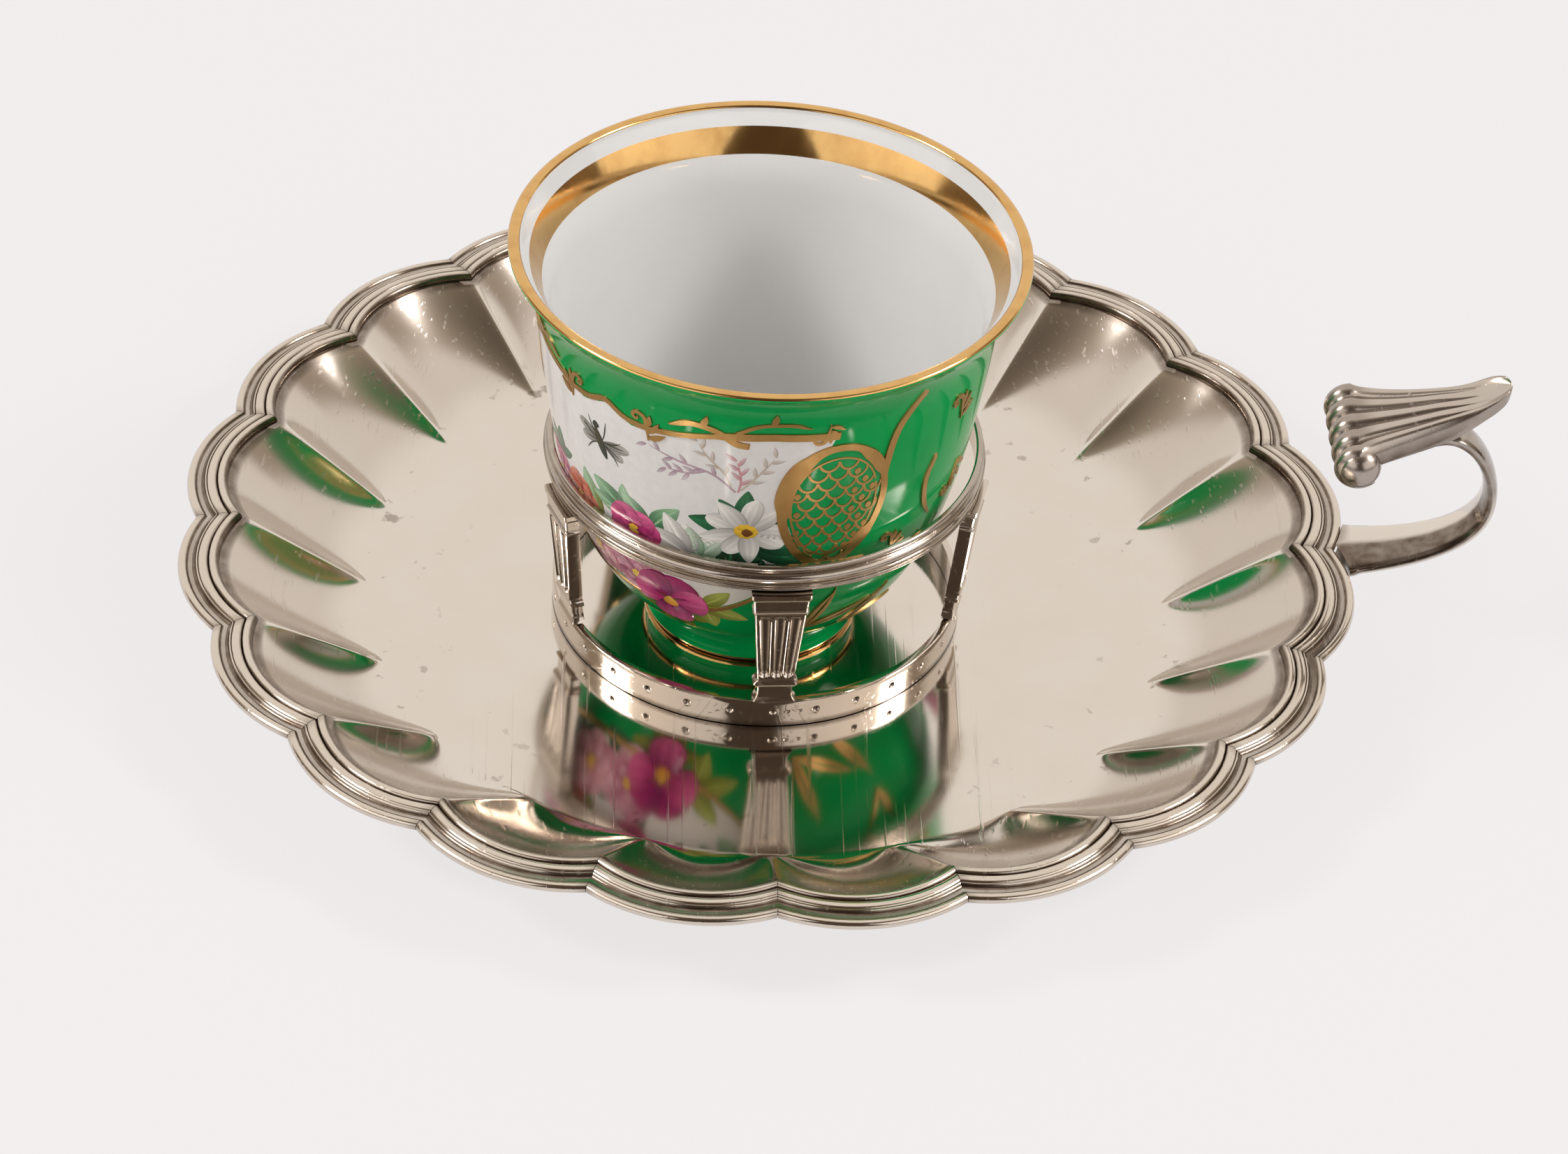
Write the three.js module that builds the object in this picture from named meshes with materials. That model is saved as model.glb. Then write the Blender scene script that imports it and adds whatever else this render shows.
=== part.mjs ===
// A mancerina: a silver saucer whose ring of posts holds a porcelain chocolate cup.
// Millimetres, +Z up. The origin is the centre of the saucer's underside and +X runs out along the handle.
import * as THREE from "three";

// Dish: one raised sheet whose flat floor turns up gently and ends in a wall of concave petals
const LOBE_COUNT = 20;
const RIM_RADIUS = 95; // to the crest of a lobe
const LOBE_DEPTH = 3; // the notches lie this far inside the crests
const SHEET = 1.2;
const FLOOR_RADIUS = 64;
const WELL_DEPTH = 13; // from the floor up to the flange
const PETAL_CURVE = 1.6; // the middle of a petal rises with this power of its run
const RIDGE_CURVE = 1; // the ridge between two petals rises straight

// Border: a reeded moulding, one mitred length on each lobe, from the outer bead in to the torus
const BEAD_WIDTH = 1.6;
const BEAD_HEIGHT = 0.6;
const REED_COUNT = 2;
const REED_WIDTH = 1.35;
const GROOVE_DEPTH = 0.35;
const TORUS_WIDTH = 2.1;
const TORUS_HEIGHT = 0.9;
const STEP_WIDTH = 0.8; // slope from the torus down to the petals
const MITRE_GAP = 0.2;

// Cup: turned porcelain, measured from the bottom of its foot
const FOOT_RADIUS = 17.2;
const FOOT_RING = 2.6;
const FOOT_RECESS = 4.8;
const WAIST_RADIUS = 17.2;
const WAIST_HEIGHT = 5.2;
const BOWL_SLOPE = THREE.MathUtils.degToRad(27); // how steeply the bowl leaves the waist
const BOWL_PULL = 12; // how far the bowl keeps that slope
const WALL_RADIUS = 36;
const WALL_HEIGHT = 57;
const WALL_PULL = 30; // how far down the wall stays upright
const LIP_RADIUS = 41.5;
const LIP_HEIGHT = 12.6; // the flared part above the wall
const CUP_WALL = 2;

// Holder: a band on the floor, posts, and a moulded collar that keeps the cup in place
const BAND_HEIGHT = 5;
const BAND_WALL = 1.3;
const BAND_BEVEL = 0.4;
const COLLAR_HEIGHT = 4.8;
const COLLAR_WALL = 1.6;
const COLLAR_BEAD = 1.2; // height of the thin upper bead
const COLLAR_RELIEF = 0.5; // how deep its groove and fillets are cut
const CUP_PLAY = 1.2; // between the collar and a centred cup
const CUP_GAP = 0.3; // the cup stands loose, this close to the collar on the side away from the handle
const HOLDER_OFFSET = -1.4; // the holder stands a little off the middle, away from the handle
const POST_COUNT = 5;
const FIRST_POST = THREE.MathUtils.degToRad(-86.2); // counted round from the handle
const POST_HEIGHT = 23;
const POST_LEAN = 2.2; // the tops stand this far outside the feet
const POST_DEPTH = 2.2;
const POST_PROUD = 0.3; // posts stand out from the band by this much
const CAPITAL_HEIGHT = 4.2;
const CAPITAL_WIDTH = 9.4;
const SHAFT_TOP_WIDTH = 8.1;
const SHAFT_FOOT_WIDTH = 5.9;
const ANKLE_HEIGHT = 4.9;
const ANKLE_WIDTH = 7.1;
const NECK_WIDTH = 5.6;
const FLUTE_COUNT = 3;
const FLUTE_DEPTH = 0.6;

// Handle: a crowned strap bent into a finger loop, and a ribbed shell for the thumb on top of it
const STRAP_THICKNESS = 2.2;
const STRAP_EDGE = 0.6; // its thickness at the two edges
const STRAP_ROOT_WIDTH = 13;
const STRAP_WIDTH = 6;
const LOOP_REACH = 23.7; // from the notch out to the far side of the loop
const LOOP_RISE = 12.7; // height of the loop's far side over its root
const LOOP_RUN = 7; // straight length under the shell
const SCROLL_RADIUS = 3.6;
const SCROLL_OFFSET = 0.5; // the scroll's axis lies this far outside the notch
const SCROLL_HEIGHT = 37.4; // of the scroll's axis over the underside
const SHELL_LENGTH = 24; // from the scroll's axis to the tip
const SHELL_RISE = 8.1;
const TIP_CURL = 0.45; // share of that rise in the upturned tip
const SHELL_DEPTH = 4.2;
const SHELL_WIDTH = 21;
const TIP_WIDTH = 6;
const FAN_TAPER = 0.75; // below 1 the fan narrows fastest next to the scroll
const RIB_COUNT = 5;
const RIB_HEIGHT = 1.2;
const RIB_SHARE = 0.7; // ribs fade out this far along the shell
const SHELL_DISH = 0.8; // the tip's edges stand this far over its middle
const RUN_CENTRE = 0.42; // where along the shell the strap lies against it

const SOLDER = 0.15; // film between soldered pieces, and under the cup's foot

// Fineness of the round forms
const LOBE_STEPS = 6;
const WALL_STEPS = 8;
const RING_STEPS = 60;
const BOWL_STEPS = 7;
const LIP_STEPS = 3;
const STRAP_STEPS = 22;
const SHELL_STEPS = 10;
const SCROLL_STEPS = 5;

const SILVER = 0xd8cfc3;
const GREEN_GLAZE = 0x14784a;

// Sizes that follow from the ones above
const lobeAngle = (2 * Math.PI) / LOBE_COUNT;
const notchRadius = RIM_RADIUS - LOBE_DEPTH;
const lobeCentre =
  (RIM_RADIUS ** 2 - notchRadius ** 2) / (2 * (RIM_RADIUS - notchRadius * Math.cos(lobeAngle / 2)));
const lobeRadius = RIM_RADIUS - lobeCentre;
const borderWidth = BEAD_WIDTH + REED_COUNT * REED_WIDTH + TORUS_WIDTH + STEP_WIDTH;
const flangeTop = SHEET + WELL_DEPTH;
const bandTop = SHEET + SOLDER + BAND_HEIGHT;
const collarFoot = bandTop + POST_HEIGHT + 2 * SOLDER;
const cupFoot = SHEET + SOLDER;

// A closed solid skinned over rings of points, each ring the same outline in a new place.
// The first and last ring are filled like the two outlines; without them, the last ring joins the first.
function skin(rings, endOutlines) {
  const size = rings[0].length;
  const faces = [];
  const joins = endOutlines ? rings.length - 1 : rings.length;
  for (let i = 0; i < joins; i++) {
    const here = i * size;
    const next = ((i + 1) % rings.length) * size;
    for (let j = 0; j < size; j++) {
      const k = (j + 1) % size;
      faces.push([here + j, next + j, next + k], [here + j, next + k, here + k]);
    }
  }
  if (endOutlines) {
    faces.push(...endFaces(endOutlines[0], 0));
    faces.push(...endFaces(endOutlines[1], joins * size).map(([a, b, c]) => [a, c, b]));
  }
  return solidFrom(rings.flat(), faces);
}

// Triangles that fill an outline, in the outline's own sense of turn, numbered from the given point.
function endFaces(outline, first) {
  const reversed = THREE.ShapeUtils.isClockWise(outline);
  const faces = THREE.ShapeUtils.triangulateShape(outline, []);
  return faces.map(([a, b, c]) => (reversed ? [a + first, c + first, b + first] : [a + first, b + first, c + first]));
}

// Faces that shrink to a line on the axis are dropped, and the rest are turned to face out.
function solidFrom(points, faces) {
  const apart = (a, b) => points[a].distanceToSquared(points[b]) > 1e-12;
  const kept = faces.filter(([a, b, c]) => apart(a, b) && apart(b, c) && apart(c, a));
  const cross = new THREE.Vector3();
  const sixVolumes = kept.map(([a, b, c]) => points[a].dot(cross.crossVectors(points[b], points[c])));
  const insideOut = sixVolumes.reduce((sum, v) => sum + v, 0) < 0;
  const index = kept.flatMap(([a, b, c]) => (insideOut ? [a, c, b] : [a, b, c]));
  const geometry = new THREE.BufferGeometry().setFromPoints(points);
  geometry.setIndex(index);
  geometry.computeVertexNormals();
  return geometry;
}

// A solid turned about Z from [radius, height] pairs that run up the outside and back down the inside.
function turned(profile) {
  const points = profile.map(([r, z]) => new THREE.Vector2(r, z));
  const onAxis = profile[0][0] === 0;
  if (!onAxis) points.push(points[0].clone());
  return new THREE.LatheGeometry(points, RING_STEPS).rotateX(Math.PI / 2);
}

function polar(radius, angle, z) {
  return new THREE.Vector3(radius * Math.cos(angle), radius * Math.sin(angle), z);
}

// A ring of points as it is seen along X.
function acrossOutline(ring) {
  return ring.map((p) => new THREE.Vector2(p.y, p.z));
}

// Distance from the axis to the lobed edge, moved in by inset, at an angle off the lobe's crest.
function lobedEdge(offCrest, inset) {
  const across = lobeCentre * Math.sin(offCrest);
  return lobeCentre * Math.cos(offCrest) + Math.sqrt((lobeRadius - inset) ** 2 - across ** 2);
}

// The sheet cut at one angle: floor, petal and flange, with the underside one sheet lower.
function dishSection(offCrest) {
  const petalEnd = lobedEdge(offCrest, borderWidth);
  const ridgeShare = ((2 * offCrest) / lobeAngle) ** 2;
  const curve = THREE.MathUtils.lerp(PETAL_CURVE, RIDGE_CURVE, ridgeShare);
  const upper = [[0, SHEET]];
  for (let i = 0; i <= WALL_STEPS; i++) {
    const t = i / WALL_STEPS;
    upper.push([THREE.MathUtils.lerp(FLOOR_RADIUS, petalEnd, t), SHEET + WELL_DEPTH * t ** curve]);
  }
  upper.push([lobedEdge(offCrest, 0), flangeTop]);
  const under = upper.map(([r, z]) => [r, z - SHEET]).reverse();
  return [...upper, ...under];
}

function dishGeometry() {
  const rings = [];
  for (let i = 0; i < LOBE_COUNT * LOBE_STEPS; i++) {
    const angle = (i * lobeAngle) / LOBE_STEPS;
    const offCrest = ((i % LOBE_STEPS) / LOBE_STEPS - 0.5) * lobeAngle;
    rings.push(dishSection(offCrest).map(([r, z]) => polar(r, angle, z)));
  }
  return skin(rings, null);
}

// The moulding's section as insets from the rim and heights over the flange.
function borderOutline() {
  const torusStart = BEAD_WIDTH + REED_COUNT * REED_WIDTH;
  const crest = (inset) =>
    THREE.MathUtils.mapLinear(inset, BEAD_WIDTH / 2, torusStart + TORUS_WIDTH / 2, BEAD_HEIGHT, TORUS_HEIGHT);
  const groove = (inset) => crest(inset) - GROOVE_DEPTH;
  const outline = [
    [0, 0],
    [0, BEAD_HEIGHT * 0.4],
    [BEAD_WIDTH / 2, BEAD_HEIGHT],
    [BEAD_WIDTH, groove(BEAD_WIDTH)],
  ];
  for (let i = 0; i < REED_COUNT; i++) {
    const start = BEAD_WIDTH + i * REED_WIDTH;
    outline.push([start + REED_WIDTH / 2, crest(start + REED_WIDTH / 2)]);
    outline.push([start + REED_WIDTH, groove(start + REED_WIDTH)]);
  }
  outline.push([torusStart + TORUS_WIDTH / 2, TORUS_HEIGHT]);
  outline.push([torusStart + TORUS_WIDTH, TORUS_HEIGHT - GROOVE_DEPTH]);
  outline.push([borderWidth, 0]);
  return outline.map(([inset, height]) => new THREE.Vector2(inset, height));
}

function borderGeometry() {
  const outline = borderOutline();
  const halfAngle = lobeAngle / 2 - MITRE_GAP / 2 / notchRadius;
  const rings = [];
  for (let i = 0; i <= LOBE_STEPS; i++) {
    const offCrest = ((2 * i) / LOBE_STEPS - 1) * halfAngle;
    rings.push(outline.map((p) => polar(lobedEdge(offCrest, p.x), offCrest, p.y)));
  }
  return skin(rings, [outline, outline]);
}

// The outside of the cup from its waist to its lip, as a bowl curve and a flare.
function cupCurves() {
  const waist = new THREE.Vector2(WAIST_RADIUS, WAIST_HEIGHT);
  const wall = new THREE.Vector2(WALL_RADIUS, WALL_HEIGHT);
  const lip = new THREE.Vector2(LIP_RADIUS, WALL_HEIGHT + LIP_HEIGHT);
  const slope = new THREE.Vector2(Math.cos(BOWL_SLOPE), Math.sin(BOWL_SLOPE));
  const upright = lip.clone().sub(wall).normalize().lerp(new THREE.Vector2(0, 1), 0.75).normalize();
  const bowl = new THREE.CubicBezierCurve(
    waist,
    waist.clone().addScaledVector(slope, BOWL_PULL),
    wall.clone().addScaledVector(upright, -WALL_PULL),
    wall,
  );
  const flare = new THREE.QuadraticBezierCurve(wall, wall.clone().addScaledVector(upright, LIP_HEIGHT * 0.65), lip);
  return { bowl, flare };
}

// Points of a curve, moved to its left by the wall's thickness for the inside of the cup.
function curvePoints(curve, steps, thickness) {
  const points = [];
  for (let i = 0; i <= steps; i++) {
    const t = i / steps;
    const point = curve.getPoint(t);
    const along = curve.getTangent(t);
    points.push([point.x - along.y * thickness, point.y + along.x * thickness]);
  }
  return points;
}

function cupProfile() {
  const { bowl, flare } = cupCurves();
  const outside = [...curvePoints(bowl, BOWL_STEPS, 0), ...curvePoints(flare, LIP_STEPS, 0).slice(1)];
  const inside = [...curvePoints(bowl, BOWL_STEPS, CUP_WALL), ...curvePoints(flare, LIP_STEPS, CUP_WALL).slice(1)];
  const lipTop = WALL_HEIGHT + LIP_HEIGHT;
  inside[inside.length - 1][1] = lipTop;
  const recessRadius = FOOT_RADIUS - FOOT_RING;
  return [
    [0, FOOT_RECESS],
    [recessRadius, FOOT_RECESS],
    [recessRadius, 0],
    [FOOT_RADIUS, 0],
    ...outside,
    ...inside.reverse(),
    [0, inside[inside.length - 1][1]],
  ];
}

// Outside radius of the cup at a height over its foot.
function cupRadiusAt(height) {
  const points = cupCurves().bowl.getPoints(100);
  const above = points.findIndex((p) => p.y >= height);
  const [low, high] = [points[above - 1], points[above]];
  return THREE.MathUtils.mapLinear(height, low.y, high.y, low.x, high.x);
}

const collarBore = cupRadiusAt(collarFoot + COLLAR_HEIGHT - cupFoot) + CUP_PLAY;
const collarRadius = collarBore + COLLAR_WALL;
const bandRadius = collarRadius - POST_LEAN;

function bandProfile() {
  return [
    [bandRadius - BAND_WALL, 0],
    [bandRadius, 0],
    [bandRadius, BAND_HEIGHT - BAND_BEVEL],
    [bandRadius - BAND_BEVEL, BAND_HEIGHT],
    [bandRadius - BAND_WALL, BAND_HEIGHT],
  ];
}

// From the bottom: a thin fillet, a broad torus, a groove and a thin bead.
function collarProfile() {
  const cut = collarRadius - COLLAR_RELIEF;
  const grooveHeight = COLLAR_HEIGHT - COLLAR_BEAD;
  return [
    [collarBore, 0],
    [cut, 0],
    [cut, COLLAR_RELIEF],
    [collarRadius, grooveHeight * 0.45],
    [collarRadius - COLLAR_RELIEF / 2, grooveHeight * 0.8],
    [cut - COLLAR_RELIEF / 2, grooveHeight],
    [cut, grooveHeight + COLLAR_BEAD / 2],
    [cut - COLLAR_RELIEF / 2, COLLAR_HEIGHT],
    [collarBore, COLLAR_HEIGHT],
  ];
}

// One level of a post: a flat back, and a front cut into hollow flutes.
function postOutline(width, depth, flute) {
  const outline = [new THREE.Vector2(-width / 2, 0), new THREE.Vector2(width / 2, 0)];
  for (let i = 0; i <= 2 * FLUTE_COUNT; i++) {
    const across = width * (0.5 - i / (2 * FLUTE_COUNT));
    outline.push(new THREE.Vector2(across, depth - (i % 2) * flute));
  }
  return outline;
}

// Upright post whose foot is at z 0; its back lies at the given radius there and leans out above.
function postGeometry(footRadius) {
  const shaftTop = POST_HEIGHT - CAPITAL_HEIGHT;
  const fillet = POST_PROUD;
  const levels = [
    [0, NECK_WIDTH + 2 * fillet, POST_DEPTH, 0],
    [ANKLE_HEIGHT * 0.3, NECK_WIDTH, POST_DEPTH - fillet, 0],
    [ANKLE_HEIGHT * 0.65, NECK_WIDTH, POST_DEPTH - fillet, 0],
    [ANKLE_HEIGHT * 0.8, ANKLE_WIDTH, POST_DEPTH, 0],
    [ANKLE_HEIGHT, SHAFT_FOOT_WIDTH, POST_DEPTH, 0],
    [ANKLE_HEIGHT + FLUTE_DEPTH, SHAFT_FOOT_WIDTH, POST_DEPTH, FLUTE_DEPTH],
    [shaftTop - FLUTE_DEPTH, SHAFT_TOP_WIDTH, POST_DEPTH, FLUTE_DEPTH],
    [shaftTop, SHAFT_TOP_WIDTH, POST_DEPTH, 0],
    [shaftTop + fillet, CAPITAL_WIDTH - 2 * fillet, POST_DEPTH + fillet, 0],
    [POST_HEIGHT, CAPITAL_WIDTH, POST_DEPTH + fillet, 0],
  ];
  const rings = levels.map(([z, width, depth, flute]) => {
    const back = footRadius + (POST_LEAN * z) / POST_HEIGHT;
    return postOutline(width, depth, flute).map((p) => new THREE.Vector3(back + p.y, p.x, z));
  });
  const [foot, top] = [levels[0], levels[levels.length - 1]];
  return skin(rings, [postOutline(...foot.slice(1)), postOutline(...top.slice(1))]);
}

// The thumb shell's upper line, at a share of its length from the scroll's axis to the tip.
function shellTop(share) {
  return SCROLL_HEIGHT + SCROLL_RADIUS + SHELL_RISE * ((1 - TIP_CURL) * share + TIP_CURL * share ** 3);
}

function shellX(share) {
  return notchRadius + SCROLL_OFFSET + share * SHELL_LENGTH;
}

function shellHalfWidth(share) {
  return THREE.MathUtils.lerp(SHELL_WIDTH, TIP_WIDTH, Math.max(share, 0) ** FAN_TAPER) / 2;
}

// One slice across the shell: ribs over the top, then back along a flat underside.
function shellSlice(x, top, under, share) {
  const halfWidth = shellHalfWidth(share);
  const relief = RIB_HEIGHT * Math.max(0, 1 - Math.max(share, 0) / RIB_SHARE);
  const low = Math.min(relief, (top - under) / 2);
  const slice = [];
  for (let i = 0; i <= 2 * RIB_COUNT; i++) {
    const side = i / RIB_COUNT - 1;
    const dished = SHELL_DISH * Math.max(share, 0) * side ** 2;
    slice.push(new THREE.Vector3(x, halfWidth * side, top + dished - low * ((i + 1) % 2)));
  }
  slice.push(new THREE.Vector3(x, halfWidth, under), new THREE.Vector3(x, -halfWidth, under));
  return slice;
}

// Slices through the rolled scroll first, then along the leaf to its tip.
function shellGeometry() {
  const slices = [];
  for (let i = 1; i <= SCROLL_STEPS; i++) {
    const turn = (Math.PI / 2) * (1 - i / SCROLL_STEPS);
    const height = SCROLL_RADIUS * Math.cos(turn);
    const x = shellX(0) - SCROLL_RADIUS * Math.sin(turn);
    slices.push(shellSlice(x, SCROLL_HEIGHT + height, SCROLL_HEIGHT - height, 0));
  }
  const leafStart = SCROLL_RADIUS / SHELL_LENGTH;
  for (let i = 0; i <= SHELL_STEPS; i++) {
    const share = leafStart + ((1 - leafStart) * i) / SHELL_STEPS;
    slices.push(shellSlice(shellX(share), shellTop(share), shellTop(share) - SHELL_DEPTH, share));
  }
  return skin(slices, [slices[0], slices[slices.length - 1]].map(acrossOutline));
}

// Centre line of the strap in the plane of X and Z: out of the notch, round the loop and under the shell.
function strapPath() {
  const share = RUN_CENTRE;
  const step = 0.01;
  const slope = (shellTop(share + step) - shellTop(share - step)) / (2 * step * SHELL_LENGTH);
  const along = new THREE.Vector2(1, slope).normalize();
  const below = SHELL_DEPTH + (SOLDER + STRAP_THICKNESS / 2) / along.x;
  const touch = new THREE.Vector2(shellX(share), shellTop(share) - below);
  const root = new THREE.Vector2(notchRadius + SOLDER, flangeTop);
  const far = new THREE.Vector2(notchRadius + LOOP_REACH, root.y + LOOP_RISE);
  const runStart = touch.clone().addScaledVector(along, LOOP_RUN / 2);
  const runEnd = touch.clone().addScaledVector(along, -LOOP_RUN / 2);
  const lower = LOOP_RISE * 0.63;
  const upper = (runStart.y - far.y) * 0.55;
  const path = new THREE.CurvePath();
  path.add(
    new THREE.CubicBezierCurve(
      root,
      root.clone().add(new THREE.Vector2(LOOP_REACH * 0.58, LOOP_RISE * 0.05)),
      far.clone().sub(new THREE.Vector2(0, lower)),
      far,
    ),
  );
  path.add(
    new THREE.CubicBezierCurve(
      far,
      far.clone().add(new THREE.Vector2(0, upper)),
      runStart.clone().addScaledVector(along, (far.x - runStart.x) * 0.5),
      runStart,
    ),
  );
  path.add(new THREE.LineCurve(runStart, runEnd));
  return path;
}

// The rim's edge in the notch under the handle, at a distance across the handle.
function notchEdge(across) {
  const crestX = lobeCentre * Math.cos(lobeAngle / 2);
  const crestY = lobeCentre * Math.sin(lobeAngle / 2);
  return crestX + Math.sqrt(lobeRadius ** 2 - (Math.abs(across) - crestY) ** 2);
}

// The strap: a section crowned on both faces, wide at the root, whose first end is cut to the shape of the notch.
function strapGeometry() {
  const path = strapPath();
  const shares = [-1, -0.5, 0, 0.5, 1];
  const rings = [];
  for (let i = 0; i <= STRAP_STEPS; i++) {
    const t = i / STRAP_STEPS;
    const point = path.getPointAt(t);
    const tangent = path.getTangentAt(t);
    const halfWidth = THREE.MathUtils.lerp(STRAP_WIDTH, STRAP_ROOT_WIDTH, (1 - t) ** 2.2) / 2;
    const place = (share, side) => {
      const across = share * halfWidth;
      const cut = i === 0 ? notchEdge(across) - notchRadius : 0;
      const lift = (side * THREE.MathUtils.lerp(STRAP_THICKNESS, STRAP_EDGE, share ** 2)) / 2;
      const leanX = i === 0 ? 0 : tangent.y;
      const leanZ = i === 0 ? 1 : tangent.x;
      return new THREE.Vector3(point.x + cut - leanX * lift, across, point.y + leanZ * lift);
    };
    const upper = shares.map((share) => place(share, 1));
    const lower = shares.map((share) => place(share, -1)).reverse();
    rings.push([...upper, ...lower]);
  }
  return skin(rings, [rings[0], rings[rings.length - 1]].map(acrossOutline));
}

function silver() {
  return new THREE.MeshStandardMaterial({ color: SILVER, metalness: 1, roughness: 0.12 });
}

function glaze() {
  return new THREE.MeshStandardMaterial({ color: GREEN_GLAZE, metalness: 0, roughness: 0.15 });
}

function addPiece(group, name, geometry, material) {
  const mesh = new THREE.Mesh(geometry, material);
  mesh.name = name;
  group.add(mesh);
  return mesh;
}

function addBorder(saucer) {
  const geometry = borderGeometry();
  for (let i = 0; i < LOBE_COUNT; i++) {
    const name = "rim_moulding_" + String(i + 1).padStart(2, "0");
    const length = addPiece(saucer, name, geometry, silver());
    length.rotation.z = (i + 0.5) * lobeAngle;
    length.position.z = flangeTop + SOLDER;
  }
}

function addHolder(saucer) {
  const holder = new THREE.Group();
  holder.position.set(HOLDER_OFFSET, 0, SHEET + SOLDER);
  saucer.add(holder);
  addPiece(holder, "holder_base_band", turned(bandProfile()), silver());
  const post = postGeometry(bandRadius + POST_PROUD - POST_DEPTH);
  for (let i = 0; i < POST_COUNT; i++) {
    const turn = new THREE.Group();
    turn.rotation.z = FIRST_POST + (i * 2 * Math.PI) / POST_COUNT;
    turn.position.z = BAND_HEIGHT + SOLDER;
    holder.add(turn);
    addPiece(turn, "holder_post_" + (i + 1), post, silver());
  }
  const collar = addPiece(saucer, "holder_collar", turned(collarProfile()), silver());
  collar.position.set(HOLDER_OFFSET, 0, collarFoot);
}

function buildMancerina() {
  const mancerina = new THREE.Group();
  const saucer = new THREE.Group();
  mancerina.add(saucer);
  addPiece(saucer, "dish", dishGeometry(), silver());
  addBorder(saucer);
  addHolder(saucer);
  addPiece(saucer, "handle_strap", strapGeometry(), silver());
  addPiece(saucer, "thumb_rest", shellGeometry(), silver());
  const cup = addPiece(mancerina, "cup", turned(cupProfile()), glaze());
  cup.position.set(HOLDER_OFFSET + CUP_GAP - CUP_PLAY, 0, cupFoot);
  return mancerina;
}

export default buildMancerina();
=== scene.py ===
# Looks of the mancerina: fine meshes, materials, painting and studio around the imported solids.
# Sizes are in millimetres in the solids' frame (+Z up, +X along the handle) and become metres in add_piece.
import math

import bmesh
import bpy
import numpy as np
from mathutils import Matrix, Vector


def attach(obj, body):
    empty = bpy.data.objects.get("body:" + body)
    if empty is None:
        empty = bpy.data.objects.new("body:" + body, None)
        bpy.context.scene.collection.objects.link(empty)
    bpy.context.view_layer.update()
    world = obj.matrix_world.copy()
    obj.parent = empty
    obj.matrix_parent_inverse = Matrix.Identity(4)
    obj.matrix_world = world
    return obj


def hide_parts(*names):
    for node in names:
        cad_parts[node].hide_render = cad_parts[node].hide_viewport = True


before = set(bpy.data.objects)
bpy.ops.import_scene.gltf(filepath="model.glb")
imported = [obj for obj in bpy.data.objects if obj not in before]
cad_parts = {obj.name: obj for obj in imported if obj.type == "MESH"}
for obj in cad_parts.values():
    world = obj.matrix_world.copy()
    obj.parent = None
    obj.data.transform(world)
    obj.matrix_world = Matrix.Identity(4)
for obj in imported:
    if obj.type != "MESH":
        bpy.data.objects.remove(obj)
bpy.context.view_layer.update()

MM = 0.001
MERGE = 0.0004  # points closer than this become one

# Dish and border, as in the solids
LOBE_COUNT = 20
RIM_RADIUS = 95.0
LOBE_DEPTH = 3.0
SHEET = 1.2
FLOOR_RADIUS = 64.0
WELL_DEPTH = 13.0
PETAL_CURVE = 1.6
RIDGE_CURVE = 1.0
BORDER_WIDTH = 7.2
SOLDER = 0.15

# Cup
FOOT_RADIUS = 17.2
FOOT_RING = 2.6
FOOT_RECESS = 4.8
WAIST_RADIUS = 17.2
WAIST_HEIGHT = 5.2
BOWL_SLOPE = math.radians(27)
BOWL_PULL = 12.0
WALL_RADIUS = 36.0
WALL_HEIGHT = 57.0
WALL_PULL = 30.0
LIP_RADIUS = 41.5
LIP_HEIGHT = 12.6
CUP_WALL = 2.0
CUP_PLAY = 1.2
CUP_GAP = 0.3

# Holder
BAND_HEIGHT = 5.0
BAND_WALL = 1.3
BAND_BEVEL = 0.4
COLLAR_HEIGHT = 4.8
COLLAR_WALL = 1.6
HOLDER_OFFSET = -1.4
POST_COUNT = 5
FIRST_POST = math.radians(-86.2)
POST_HEIGHT = 23.0
POST_LEAN = 2.2
POST_DEPTH = 2.2
POST_PROUD = 0.3
CAPITAL_HEIGHT = 4.2
CAPITAL_WIDTH = 9.4
SHAFT_TOP_WIDTH = 8.1
SHAFT_FOOT_WIDTH = 5.9
ANKLE_HEIGHT = 4.9
ANKLE_WIDTH = 7.1
NECK_WIDTH = 5.6

# Handle
STRAP_THICKNESS = 2.2
STRAP_EDGE = 0.6
STRAP_ROOT_WIDTH = 13.0
STRAP_WIDTH = 6.0
LOOP_REACH = 23.7
LOOP_RISE = 12.7
LOOP_RUN = 7.0
SCROLL_RADIUS = 3.6
SCROLL_OFFSET = 0.5
SCROLL_HEIGHT = 37.4
SHELL_LENGTH = 24.0
SHELL_RISE = 8.1
TIP_CURL = 0.45
SHELL_DEPTH = 4.2
SHELL_WIDTH = 21.0
TIP_WIDTH = 6.0
RIB_COUNT = 5
RUN_CENTRE = 0.42

# Finer forms that only the looks have
RIDGE_ROUND = 0.3  # how far the ridges between petals are rounded off
RIDGE_SOFT = 0.025  # the same as a share of a petal's half width
BEAD_RADIUS = 0.8  # the bead wraps the edge of the sheet
FLANGE_STRIP = 0.7  # bare strip of the flange between the petals and the border
MITRE_GAP = 0.1
DOT_COUNT = 30
DOT_HEIGHT = 2.75
DOT_RADIUS = 0.52
DOT_DEPTH = 0.42
POST_EDGE = 0.3
FLUTE_COUNT = 3
FLUTE_DEPTH = 0.7
FLUTE_PITCH = 0.62  # this and the next as shares of a post's half width
FLUTE_HALF = 0.265
FLUTE_MARGIN = 0.45
RIB_HEIGHT = 2.2
FAN_TAPER = 0.62  # the fan's edges are a little hollower than the solid's
FAN_EDGE = 2.0  # how far the fan's long edges are rounded down
FAN_HOLLOW = 1.2  # how deep the fan is dished towards its tip
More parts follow.
